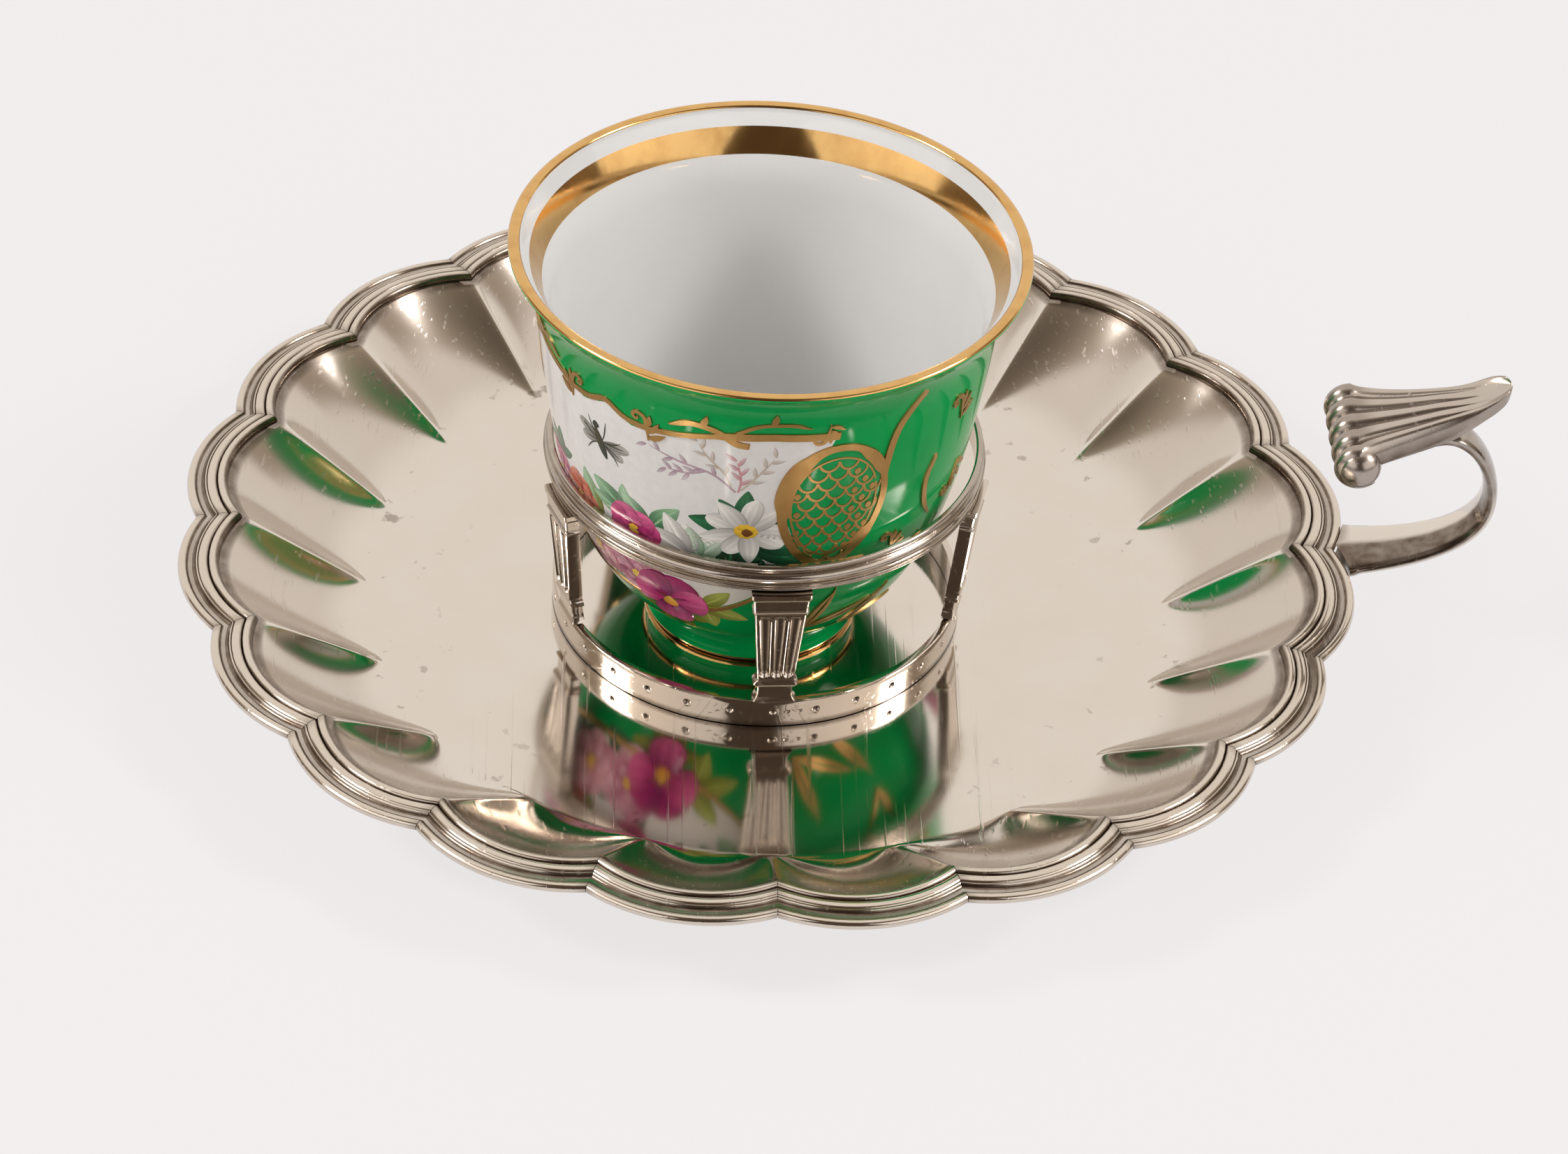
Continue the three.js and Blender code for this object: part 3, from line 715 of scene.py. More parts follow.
def post_sides():
    """Heights up a post with its width and depth: foot, neck, ankle bead, shaft, astragal and capital."""
    shaft_top = POST_HEIGHT - CAPITAL_HEIGHT
    stations = np.array([
        [0.0, NECK_WIDTH + 1.3, POST_DEPTH],
        [0.35, NECK_WIDTH + 0.8, POST_DEPTH - 0.1],
        [1.0, NECK_WIDTH + 0.2, POST_DEPTH - 0.3],
        [1.6, NECK_WIDTH, POST_DEPTH - 0.3],
        [ANKLE_HEIGHT * 0.62, NECK_WIDTH, POST_DEPTH - 0.3],
        [ANKLE_HEIGHT * 0.68, ANKLE_WIDTH - 0.5, POST_DEPTH],
        [ANKLE_HEIGHT * 0.76, ANKLE_WIDTH, POST_DEPTH + 0.12],
        [ANKLE_HEIGHT * 0.86, ANKLE_WIDTH - 0.4, POST_DEPTH + 0.05],
        [ANKLE_HEIGHT * 0.94, SHAFT_FOOT_WIDTH, POST_DEPTH - 0.05],
        [ANKLE_HEIGHT, SHAFT_FOOT_WIDTH, POST_DEPTH],
        [shaft_top, SHAFT_TOP_WIDTH, POST_DEPTH],
        [shaft_top + 0.12, SHAFT_TOP_WIDTH + 0.5, POST_DEPTH + 0.2],
        [shaft_top + 0.45, SHAFT_TOP_WIDTH + 0.7, POST_DEPTH + 0.25],
        [shaft_top + 0.75, SHAFT_TOP_WIDTH + 0.4, POST_DEPTH + 0.15],
        [shaft_top + 0.85, SHAFT_TOP_WIDTH + 0.3, POST_DEPTH],
        [POST_HEIGHT - 1.3, CAPITAL_WIDTH - 0.7, POST_DEPTH + 0.05],
        [POST_HEIGHT - 1.0, CAPITAL_WIDTH - 0.1, POST_DEPTH + 0.25],
        [POST_HEIGHT, CAPITAL_WIDTH, POST_DEPTH + POST_PROUD],
    ])
    z = np.unique(np.concatenate([stations[:, 0], np.arange(0, POST_HEIGHT, 0.2)]))
    return z, np.interp(z, stations[:, 0], stations[:, 1]), np.interp(z, stations[:, 0], stations[:, 2])


def flute_cut(z, width, across):
    """Depth of the round-ended flutes at heights z and at shares across the front."""
    low = ANKLE_HEIGHT + FLUTE_MARGIN
    high = POST_HEIGHT - CAPITAL_HEIGHT - FLUTE_MARGIN
    size = FLUTE_HALF * width / 2
    past = np.maximum(np.maximum(low + size - z, z - high + size), 0)
    cut = np.zeros((z.size, across.size))
    for k in range(FLUTE_COUNT):
        centre = FLUTE_PITCH * (k - (FLUTE_COUNT - 1) / 2)
        aside = (across - centre) / FLUTE_HALF
        away = np.sqrt(aside**2 + (past / size)[:, None] ** 2)
        cut = np.maximum(cut, FLUTE_DEPTH * quarter_round(away))
    return cut


def make_posts(front_steps=57):
    z, width, depth = post_sides()
    across = np.linspace(1, -1, front_steps)
    cut = flute_cut(z, width, across)
    rounded = POST_EDGE * smooth(0.9, 1.0, np.abs(across)) ** 2
    back = (band_radius + POST_PROUD - POST_DEPTH + POST_LEAN * z / POST_HEIGHT)[:, None]
    sides = width[:, None]
    out = np.concatenate([back + depth[:, None] - cut - rounded, back, back], axis=1)
    aside = np.concatenate([across * sides / 2, -sides / 2, sides / 2], axis=1)
    height = z[:, None] + band_top + SOLDER
    # painted shade in the flutes and under the capital
    hollow = np.concatenate([smooth(0.25, 0.7, cut) * FLUTE_SHADE, np.zeros((z.size, 2))], axis=1)
    under_capital = groove(z - POST_HEIGHT + CAPITAL_HEIGHT, 0.95, 0.18)
    hollow = np.maximum(hollow, under_capital[:, None] * CAPITAL_SHADE)
    faces = skin_faces(z.size, out.shape[1])
    for i in range(POST_COUNT):
        x, y = turned(out, aside, FIRST_POST + i * 2 * math.pi / POST_COUNT)
        points = joined(x + HOLDER_OFFSET, y, height)
        name, node = "fluted_post_" + str(i + 1), "holder_post_" + str(i + 1)
        add_silver(name, points, faces, "holder_silver", [node], hollow, sharp=45)


def shell_top(share):
    return SCROLL_HEIGHT + SCROLL_RADIUS + SHELL_RISE * ((1 - TIP_CURL) * share + TIP_CURL * share**3)


def shell_x(share):
    return notch_radius + SCROLL_OFFSET + share * SHELL_LENGTH


def strap_line():
    """Centre line of the strap in X and Z: out of the notch, round the loop and under the shell."""
    step = 0.01
    slope = (shell_top(RUN_CENTRE + step) - shell_top(RUN_CENTRE - step)) / (2 * step * SHELL_LENGTH)
    along = np.array([1, slope]) / math.hypot(1, slope)
    below = SHELL_DEPTH + (SOLDER + STRAP_THICKNESS / 2) / along[0]
    touch = np.array([shell_x(RUN_CENTRE), shell_top(RUN_CENTRE) - below])
    root = np.array([notch_radius + SOLDER, flange_top])
    far = np.array([notch_radius + LOOP_REACH, root[1] + LOOP_RISE])
    run_start = touch + along * LOOP_RUN / 2
    run_end = touch - along * LOOP_RUN / 2
    lower = bezier([root, root + [LOOP_REACH * 0.58, LOOP_RISE * 0.05], far - [0, LOOP_RISE * 0.63], far], 90)
    pull = (far[0] - run_start[0]) * 0.5
    upper = bezier([far, far + [0, (run_start[1] - far[1]) * 0.55], run_start + along * pull, run_start], 90)
    return np.concatenate([lower, upper[1:], run_end[None]])


def notch_edge(across):
    crest_x = lobe_centre * math.cos(lobe_angle / 2)
    crest_y = lobe_centre * math.sin(lobe_angle / 2)
    return crest_x + np.sqrt(lobe_radius**2 - (np.abs(across) - crest_y) ** 2)


def make_strap(steps=140):
    """A strap crowned on both faces, wide at the root and cut there to the shape of the notch."""
    path, along = even_path(strap_line(), steps)
    t = np.linspace(0, 1, steps)
    half = lerp(STRAP_WIDTH, STRAP_ROOT_WIDTH, (1 - t) ** 2.2) / 2
    share = np.linspace(-0.95, 0.95, 19)
    crown = lerp(STRAP_EDGE, STRAP_THICKNESS, np.sqrt(1 - share**2)) / 2
    edge = np.array([[1.0, STRAP_EDGE * 0.25], [1.0, -STRAP_EDGE * 0.25]])
    ring = np.concatenate([
        joined(share, crown), edge, joined(share[::-1], -crown[::-1]), -edge,
    ])
    across = half[:, None] * ring[:, 0]
    flat = smooth(0.0, 0.03, t)
    lean_x = along[:, 1] * flat
    lean_z = lerp(1.0, along[:, 0], flat)
    cut = (notch_edge(across) - notch_radius) * (1 - smooth(0, 0.08, t))[:, None]
    x = path[:, None, 0] + cut - lean_x[:, None] * ring[:, 1]
    z = path[:, None, 1] + lean_z[:, None] * ring[:, 1]
    points = joined(x, across, z)
    # painted dark reflection on the near half of the upper face, and painted shade at the root and on the
    # loop's lower face near its top
    near_side = smooth(0.2, -0.05, ring[:, 0]) * (ring[:, 1] > 0)
    hollow = np.maximum(STRAP_ROOT_SHADE * (1 - smooth(0.0, 0.05, t))[:, None], near_side)
    over_top = STRAP_TOP_SHADE * smooth(0.5, 0.62, t) * (1 - smooth(0.86, 0.95, t))
    hollow = np.maximum(hollow, over_top[:, None] * (ring[:, 1] < 0))
    faces = skin_faces(steps, ring.shape[0])
    add_silver("handle_loop_strap", points, faces, "polished_silver", ["handle_strap"], hollow)


def tip_closing(share):
    return quarter_round((share - 1 + TIP_ROUND) / TIP_ROUND)


def shell_stations(roll_steps=30, leaf_steps=64):
    """Stations round the scroll and along the leaf: surface point, way out, core and share of the length."""
    axis = np.array([shell_x(0), SCROLL_HEIGHT])
    turns = np.radians(np.linspace(-45, -268, roll_steps))
    out = joined(np.cos(turns), np.sin(turns))
    roll = axis + out * SCROLL_RADIUS
    share = 1 - (1 - np.linspace(0.015, 1, leaf_steps)) ** 1.25
    leaf = joined(shell_x(share), shell_top(share))
    slope = unit(np.gradient(leaf, axis=0))
    leaf_out = joined(-slope[:, 1], slope[:, 0])
    thinner = lerp(1.0, TIP_DEPTH, smooth(0.6, 0.95, share))
    depth = SHELL_DEPTH * thinner * lerp(TIP_UNDER, 1.0, tip_closing(share))
    joining = smooth(0.0, SCROLL_RADIUS / SHELL_LENGTH, share)[:, None]
    under = lerp(axis[None, :], leaf - joined(0 * depth, depth), joining)
    surface = np.concatenate([roll, leaf])
    core = np.concatenate([np.repeat(axis[None], roll_steps, axis=0), under])
    shares = np.concatenate([np.zeros(roll_steps), share])
    return surface, np.concatenate([out, leaf_out]), core, shares


def shell_half_width(share):
    fan = lerp(SHELL_WIDTH, TIP_WIDTH, share**FAN_TAPER) / 2
    return fan * np.maximum(quarter_round((share - 1 + TIP_PLAN) / TIP_PLAN), 0.1)


def make_thumb_rest(rib_steps=12):
    surface, out, core, share = shell_stations()
    side = np.linspace(-1, 1, RIB_COUNT * rib_steps + 1)
    half = shell_half_width(share)
    rib = quarter_round(np.abs(((side + 1) / 2 * RIB_COUNT) % 1 * 2 - 1))
    strength = (RIB_HEIGHT * half / half[0] * (1 - smooth(0.4, 0.9, share)))[:, None]
    edge = FAN_EDGE * (1 - quarter_round((np.abs(side) - 0.75) / 0.25))
    closing = tip_closing(share)
    edge = edge * (lerp(1.0, 0.25, smooth(0.6, 0.88, share)) * closing)[:, None]
    tip_drop = (1 - TIP_UNDER) * TIP_DEPTH * SHELL_DEPTH * (1 - closing)
    dish = FAN_HOLLOW * (smooth(0.5, 0.85, share) * closing)[:, None] * (side**2 - 0.8)
    lift = (rib - 0.8) * strength - edge + dish
    x = surface[:, None, 0] + out[:, None, 0] * lift
    z = surface[:, None, 1] + out[:, None, 1] * lift - tip_drop[:, None]
    upper = joined(x, half[:, None] * side, z)
    lower_side = np.linspace(0.94, -0.94, 9)
    lower_y = half[:, None] * lower_side
    sag = SHELL_SAG * (1 - lower_side**2) * (share > 0)[:, None]
    lower = joined(core[:, None, 0], lower_y, core[:, None, 1] - sag)
    rings = np.concatenate([upper, lower], axis=1)
    # painted shade between the ribs, along the fan's edges, at the roll, lightly over the fan, and over the
    # whole underside
    valley = smooth(0.75, 0.1, rib) * (1 - smooth(0.5, 0.9, share))[:, None]
    valley = np.maximum(valley, SHELL_SHADE * smooth(0.84, 0.94, np.abs(side)))
    valley = np.maximum(valley, lerp(SHELL_SHADE, FAN_SHADE, smooth(0.0, 0.15, share))[:, None])
    hollow = np.concatenate([valley, np.full(lower_y.shape, SHELL_SHADE)], axis=1)
    faces = skin_faces(len(rings), rings.shape[1])
    add_silver("thumb_shell", rings, faces, "cast_silver", ["thumb_rest"], hollow, sharp=55)


def make_scroll_ends(rows=14, columns=24):
    """The rolled end of the thumb rest finishes in a small ball at each side."""
    polar_turn = np.linspace(0, math.pi, rows)
    turn = full_turn(columns)
    radius = SCROLL_RADIUS * 0.98
    for name, side in (("near", -1), ("far", 1)):
        y = side * (SHELL_WIDTH / 2 - BALL_INSET) - BALL_HALF * np.cos(polar_turn)[:, None]
        x = shell_x(0) + radius * np.sin(polar_turn)[:, None] * np.cos(turn)
        z = SCROLL_HEIGHT + radius * np.sin(polar_turn)[:, None] * np.sin(turn)
        points = joined(x, y, z)
        faces = grid_quads(rows, columns, close_columns=True)
        # painted shade over the whole ball
        hollow = np.full(points.shape[:2], BALL_SHADE)
        add_silver("scroll_ball_" + name, points, faces, "cast_silver", (), hollow)


def foot_line():
    """From the middle of the underside, round the foot ring, up to the waist."""
    inner = FOOT_RADIUS - FOOT_RING
    return np.array([
        [0.0, FOOT_RECESS], [inner - 2.5, FOOT_RECESS], [inner - 0.4, FOOT_RECESS - 0.2],
        [inner, FOOT_RECESS - 0.8], [inner + 0.15, 0.4], [inner + 0.6, 0.02],
        [FOOT_RADIUS - 0.7, 0.0], [FOOT_RADIUS - 0.15, 0.2],
        [FOOT_RADIUS, 0.6], [FOOT_RADIUS - 0.02, 1.1], [FOOT_RADIUS - 0.45, 1.7], [FOOT_RADIUS - 0.75, 2.6],
        [WAIST_RADIUS - 0.7, 3.6], [WAIST_RADIUS - 0.45, 4.4], [WAIST_RADIUS - 0.25, 4.85],
    ])


def cup_profile():
    """The whole section from the underside's middle to the inside's middle, and where its inside begins."""
    tangent = unit(np.gradient(cup_line, axis=0))
    lip_top = WALL_HEIGHT + LIP_HEIGHT
    wall = lerp(CUP_WALL, LIP_WALL, smooth(WALL_HEIGHT, lip_top, cup_line[:, 1]))
    inside = cup_line + joined(-tangent[:, 1], tangent[:, 0]) * wall[:, None]
    keep_out = cup_line[:, 1] < lip_top - LIP_ROUND
    keep_in = inside[:, 1] < lip_top - LIP_ROUND
    outer_end = cup_line[keep_out][-1]
    inner_end = inside[keep_in][-1]
    middle = (outer_end + inner_end) / 2
    half = (outer_end[0] - inner_end[0]) / 2
    rim = arc((middle[0], lip_top - LIP_ROUND), (half, LIP_ROUND), 0, 180, LIP_POINTS + 2)[1:-1]
    outside = np.concatenate([foot_line(), cup_line[keep_out]])
    floor = np.array([[0.0, inside[0, 1]]])
    back = np.concatenate([inside[keep_in][::-1], floor])
    return outside, np.concatenate([rim, back])


def resample(line, step):
    return even_path(line, max(int(path_length(line)[-1] / step), 2))[0]


def make_cup(steps=240):
    outside, inside = cup_profile()
    outside = resample(outside, OUTSIDE_STEP)
    profile = np.concatenate([outside, inside[:LIP_POINTS], resample(inside[LIP_POINTS:], INSIDE_STEP)])
    angles = full_turn(steps)
    points = polar(profile[:, None, 0], angles, profile[:, None, 1] + cup_foot)
    points = points + np.array([cup_x, 0, 0])
    z = (profile[:-1, 1] + profile[1:, 1]) / 2
    is_outside = np.arange(len(z)) < len(outside)
    is_ring = np.arange(len(z)) * OUTSIDE_STEP < FOOT_RUN
    green, white, gilt = 0, 1, 2
    slot = np.where(is_outside & ~is_ring, green, white)
    on_foot = (z > FOOT_LINE[0]) & (z < FOOT_LINE[1]) | (z > WAIST_LINE[0]) & (z < WAIST_LINE[1])
    slot = np.where(is_outside & ~is_ring & on_foot, gilt, slot)
    slot = np.where(z > LIP_LINE, gilt, slot)
    slot = np.where(~is_outside & (z > GOLD_BAND[0]) & (z < GOLD_BAND[1]), gilt, slot)
    faces = grid_quads(len(profile), steps, close_columns=True)
    glazes = [GREEN_GLAZE, WHITE_GLAZE, GILDING]
    slots = np.repeat(slot, steps)
    add_piece("porcelain_cup", points, faces, glazes, "cup", ["cup"], face_slots=slots)


# The painting lies on the cup in patches. A place is an angle in degrees and a length up the outside.
wall_points, wall_along = even_path(cup_line, 400)
wall_out = joined(wall_along[:, 1], -wall_along[:, 0])
wall_length = path_length(wall_points) + WAIST_HEIGHT


def radius_at(length):
    return np.interp(length, wall_length, wall_points[:, 0])


def on_cup(place, x, y, lift):
    """Points x to the right of a place and y above it, measured along the glaze, and lifted off it."""
    angle, length = place
    up = length + y
    radius, z = [np.interp(up, wall_length, wall_points[:, k]) for k in (0, 1)]
    out_r, out_z = [np.interp(up, wall_length, wall_out[:, k]) for k in (0, 1)]
    turn = math.radians(angle) + x / radius
    return polar(radius + out_r * lift, turn, z + out_z * lift + cup_foot) + np.array([cup_x, 0, 0])


class Paintwork:
    """Patches of paint gathered into one mesh."""

    def __init__(self):
        self.points, self.faces, self.colours = [], [], []
        self.count = 0

    def patch(self, place, x, y, level, colour):
        """A grid of points laid on the cup; its outermost points are sunk under the glaze."""
        rows, columns = x.shape
        lift = np.full(x.shape, level * LEVEL + PAINT)
        lift[0, :] = lift[-1, :] = SUNK
        lift[:, 0] = lift[:, -1] = SUNK
        self.points.append(on_cup(place, x, y, lift).reshape(-1, 3))
        self.faces.append(grid_quads(rows, columns) + self.count)
        paint = np.concatenate([np.broadcast_to(colour, (*x.shape, 3)), np.ones((*x.shape, 1))], axis=-1)
        self.colours.append(paint.reshape(-1, 4))
        self.count += rows * columns

    def make(self, name, material):
        values = {"paint": np.concatenate(self.colours)}
        faces = np.concatenate(self.faces)
        points = np.concatenate(self.points)
        add_piece(name, points, faces, [material], "cup", (), values, sharp=25)


def leaf(
    work, place, heading, length, width, root, tip, level, bend=0.0, round_end=False, vein=None, streak=0.0
):
    """A leaf, or a petal with a round end, from its root out: shaded along and across, veined or streaked."""
    p, q = LEAF_ALONG, LEAF_ACROSS
    belly, fullness = (1.5, 0.5) if round_end else (0.85, 0.8)
    half = width / 2 * np.sin(math.pi * np.clip(p, 0.01, 0.99) ** belly) ** fullness
    along = length * p + 0 * q
    across = half * q + bend * length * p**2
    x, y = turned(along, across, math.radians(heading))
    colour = lerp(np.array(root), np.array(tip), smooth(0.1, 0.95, p)[..., None])
    shade = (1 - 0.25 * np.abs(q) ** 3) * (1 + 0.22 * q) * (1 + streak * np.cos(11 * q + 3 * p))
    colour = colour * shade[..., None]
    if vein is not None:
        on_vein = ((np.abs(q) < 0.1) & (p > 0.05) & (p < 0.9))[..., None]
        colour = np.where(on_vein, np.array(vein), colour)
    work.patch(place, x, y, level, colour)


def curve_through(points, steps):
    """A smooth curve through the given points."""
    points = np.array(points, float)
    padded = np.concatenate([2 * points[:1] - points[1:2], points, 2 * points[-1:] - points[-2:-1]])
    t = np.linspace(0, 1, steps, endpoint=False)[:, None]
    parts = []
    for a, b, c, d in zip(padded, padded[1:], padded[2:], padded[3:]):
        bent = (2 * a - 5 * b + 4 * c - d) * t**2
        turned = (3 * b - a - 3 * c + d) * t**3
        parts.append(0.5 * (2 * b + (c - a) * t + bent + turned))
    return np.concatenate([*parts, points[-1:]])


def brush(points, width, taper, ends, steps):
    """Places across a stroke along a smooth curve, which thins towards its two ends."""
    line = curve_through(points, steps)
    line, along = even_path(line, max(len(line), 6))
    share = np.linspace(0, 1, len(line))
    first = lerp(taper[0], 1, smooth(0, ends, share))
    last = lerp(taper[1], 1, smooth(1, 1 - ends, share))
    half = (width / 2 * np.minimum(first, last))[:, None]
    x = line[:, None, 0] - along[:, None, 1] * half * STROKE
    y = line[:, None, 1] + along[:, None, 0] * half * STROKE
    return x, y


def ribbon(work, place, points, width, level, colour, taper=(0.3, 0.3), steps=8):
    x, y = brush(points, width, taper, 0.35, steps)
    work.patch(place, x, y, level, np.array(colour))


def dot(work, place, x0, y0, radius, level, colour):
    leaf(work, place_at(place, x0 - radius, y0), 0, 2 * radius, 2 * radius, colour, colour, level)


def place_at(place, x, y):
    """The place x to the right of another and y above it."""
    up = place[1] + y
    return place[0] + math.degrees(x / float(radius_at(up))), up


def scroll(size, flip):
    """A C-scroll's points: a stem that winds up into a curl."""
    turn = np.linspace(0, 1.1 * 2 * math.pi, 14)
    radius = size * 0.5 * np.exp(-0.32 * turn)
    curl = joined(radius * np.cos(turn) - size * 0.5, flip * radius * np.sin(turn))
    stem = np.array([[size * 0.15, -flip * size * 1.3], [size * 0.1, -flip * size * 0.6]])
    return np.concatenate([stem, curl])


def blossom(work, place, size, petals, inner, outer, level, seed):
    """A full open flower: three rings of rounded petals and a cluster of dots."""
    draw = np.random.default_rng(seed)
    inner, outer = np.array(inner), np.array(outer)
    for ring, (reach, wide) in enumerate(((1.0, 0.95), (0.74, 0.85), (0.46, 0.75))):
        count = petals - ring
        for i in range(count):
            heading = 360 * (i + 0.5 * ring) / count + draw.uniform(-10, 10)
            length = size * reach * draw.uniform(0.88, 1.1)
            tip = lerp(outer, inner, 0.6 * draw.uniform())
            root = inner * (1 - 0.2 * ring)
            layer = level + ring * petals + i
            bend = draw.uniform(-0.12, 0.12)
            leaf(work, place, heading, length, length * wide, root, tip, layer, bend, True, None, 0.13)
    top = level + 3 * petals
    for i in range(7):
        turn = 2 * math.pi * i / 7
        reach = 0.0 if i == 0 else size * 0.12
        dot(work, place, reach * math.cos(turn), reach * math.sin(turn), size * 0.075, top + i % 2, YELLOW)


def pansy(work, place, size, level):
    """Two dark petals above, two brighter at the sides and a broad one below, round a yellow eye."""
    petals = ((60, 1.0, PURPLE, MAGENTA), (122, 1.0, PURPLE, MAGENTA), (5, 0.95, MAGENTA, PINK))
    petals += ((176, 0.95, MAGENTA, PINK), (268, 1.05, PURPLE, PINK))
    for i, (heading, reach, root, tip) in enumerate(petals):
        leaf(work, place, heading, size * reach, size * 1.02, root, tip, level + i, 0, True, None, 0.16)
    for heading in (20, 160, 245, 270, 295):
        leaf(work, place, heading, size * 0.5, size * 0.1, BROWN, PURPLE, level + 6)
    eye = place_at(place, 0, size * 0.1)
    leaf(work, eye, 270, size * 0.42, size * 0.4, YELLOW, ORANGE, level + 8, 0, True)


def daisy(work, place, size, level, seed):
    """An open white flower with broad pointed petals round a yellow and brown eye."""
    draw = np.random.default_rng(seed)
    for i in range(9):
        heading = 360 * i / 9 + draw.uniform(-7, 7)
        length = size * draw.uniform(0.85, 1.12)
        bend = draw.uniform(-0.15, 0.15)
        layer = level + i % 4
        leaf(work, place, heading, length, size * 0.5, GREY, WHITE, layer, bend, i % 2 == 0, None, 0.1)
    for i in range(9):
        turn = 2 * math.pi * i / 9
        x, y = size * 0.17 * math.cos(turn), size * 0.13 * math.sin(turn)
        dot(work, place, x, y, size * 0.11, level + 5 + i % 2, YELLOW)
    dot(work, place, size * 0.03, -size * 0.04, size * 0.13, level + 8, BROWN)


def leaf_cluster(work, place, heading, size, colours, level, seed, spread=46, count=3):
    draw = np.random.default_rng(seed)
    root, tip = colours
    for i in range(count):
        turn = heading + spread * (i - (count - 1) / 2) + draw.uniform(-8, 8)
        length = size * draw.uniform(0.85, 1.15)
        wide = length * draw.uniform(0.44, 0.58)
        vein = np.array(tip) * 1.25
        leaf(work, place, turn, length, wide, root, tip, level + i, draw.uniform(-0.2, 0.2), False, vein, 0.1)


def sprig(work, place, level):
    """Faint fern-like stems with small leaflets, in pink, mauve and grey."""
    pink, mauve, ash = (0.62, 0.33, 0.35), (0.46, 0.33, 0.38), (0.58, 0.50, 0.42)
    stems = (
        ([(0, 0), (-4, 3.4), (-9.5, 4.6), (-15, 6)], mauve),
        ([(-1, 1), (-2.2, 4), (-5, 7), (-6.5, 9.6)], ash),
        ([(0, 0), (0.4, 3), (-0.3, 6.8)], pink),
        ([(0.2, 0.5), (2.6, 3.6), (5.6, 8)], ash),
        ([(-5, 3.8), (-8, 2.6), (-11.5, 2.4)], mauve),
    )
    for points, colour in stems:
        line = np.array(points, float)
        ribbon(work, place, line, 0.42, level, colour, (0.9, 0.25))
        path, along = even_path(curve_through(line, 8), 8)
        for i in range(2, 8):
            aim = math.degrees(math.atan2(along[i, 1], along[i, 0])) + (42 if i % 2 else -42)
            tip = lerp(np.array(colour), 0.75, 0.4)
            leaf(work, place_at(place, *path[i]), aim, 2.3, 0.75, colour, tip, level + 1)


def insect(work, place, level):
    """A small fly with two pairs of smoky wings."""
    smoke, dark = (0.42, 0.41, 0.37), (0.035, 0.045, 0.03)
    for heading, length in ((158, 5.6), (186, 4.6), (8, 5.8), (-22, 4.8)):
        leaf(work, place, heading, length, 2.1, (0.17, 0.16, 0.14), smoke, level, 0, True, None, 0.25)
        ribbon(work, place, [(0, 0), turned(length * 0.9, 0, math.radians(heading))], 0.2, level + 2, dark)
    leaf(work, place_at(place, 0.9, -3.2), 112, 6.6, 1.7, dark, (0.07, 0.06, 0.03), level + 4)
    dot(work, place, -1.1, 2.9, 0.75, level + 5, dark)
    for x, y in ((-3.6, -3.2), (3.4, -3.4), (-2.9, 4.2), (1.2, 4.6), (-4.2, 2.2), (4.2, 1.9)):
        ribbon(work, place, [(0, 0), (x * 0.6, y * 0.4), (x, y)], 0.24, level + 3, dark)


def panel_top(panel, angle):
    """Height of a panel's wavy upper edge at an angle."""
    centre, half, _, drop, _ = panel
    return float(np.interp(abs(angle - centre) * PANEL_TOP[0][-1] / half, *PANEL_TOP)) - drop


def reserve(work, panel):
    """A white panel on the green ground, and its lower edge for the gilder."""
    centre, half, bottom, _, end_rise = panel
    w = np.linspace(-1, 1, 110)[:, None]
    share = np.linspace(0, 1, 40)[None, :]
    low = bottom + end_rise * np.abs(w) ** 3.2
    top = np.array([[panel_top(panel, centre + half * float(a))] for a in w[:, 0]])
    length = lerp(low, top, share)
    angle = np.radians(half) * w * lerp(0.9, 1.0, share**3)
    tint = lerp(np.array(GROUND), np.array(SHADED_GROUND), (0.5 * smooth(0.6, 0.0, share))[..., None])
    work.patch((centre, 0), angle * radius_at(length), length, 0, np.broadcast_to(tint, (*length.shape, 3)))
    return [(centre + 0.9 * half * float(a), float(b)) for a, b in zip(w[::7, 0], low[::7, 0])]


def gild_line(work, stations, width, level, taper=(0.6, 0.6)):
    """Like ribbon, for gilt strokes far round the cup: curved in angle and length, then laid on the glaze."""
    angle0 = stations[0][0]
    line = [(math.radians(a - angle0) * WALL_RADIUS, s) for a, s in stations]
    x, length = brush(line, width, taper, 0.2, 8)
    work.patch((angle0, 0), x / WALL_RADIUS * radius_at(length), length, level, np.array(GILT))


def flourish(work, place, size, level, flip, heading):
    """A leafy gilt scroll: one curl with three leaves along its back."""
    turn = math.radians(heading)
    line = joined(*turned(*scroll(size, flip).T, turn))
    ribbon(work, place, line, size * 0.24, level, GILT, (0.25, 0.7), steps=5)
    for x, y, aim, reach in ((0.15, -1.1, 10, 1.0), (0.2, -0.75, 40, 0.9), (0.1, -0.35, 62, 0.7)):
        root = turned(x * size, flip * y * size, turn)
        aim = flip * aim + heading
        leaf(work, place_at(place, *root), aim, reach * size, 0.34 * size, GILT, GILT, level + 1, 0.25 * flip)


def gilt_spray(work, place, heading, length, level, count=4, spread=24):
    """Slender gilt leaves that fan out from one point."""
    for i in range(count):
        aim = heading + spread * (i - (count - 1) / 2)
        reach = length * (1 - 0.1 * abs(i - (count - 1) / 2))
        leaf(work, place, aim, reach, 0.85, GILT, GILT, level + i, 0.22 * (-1) ** i)


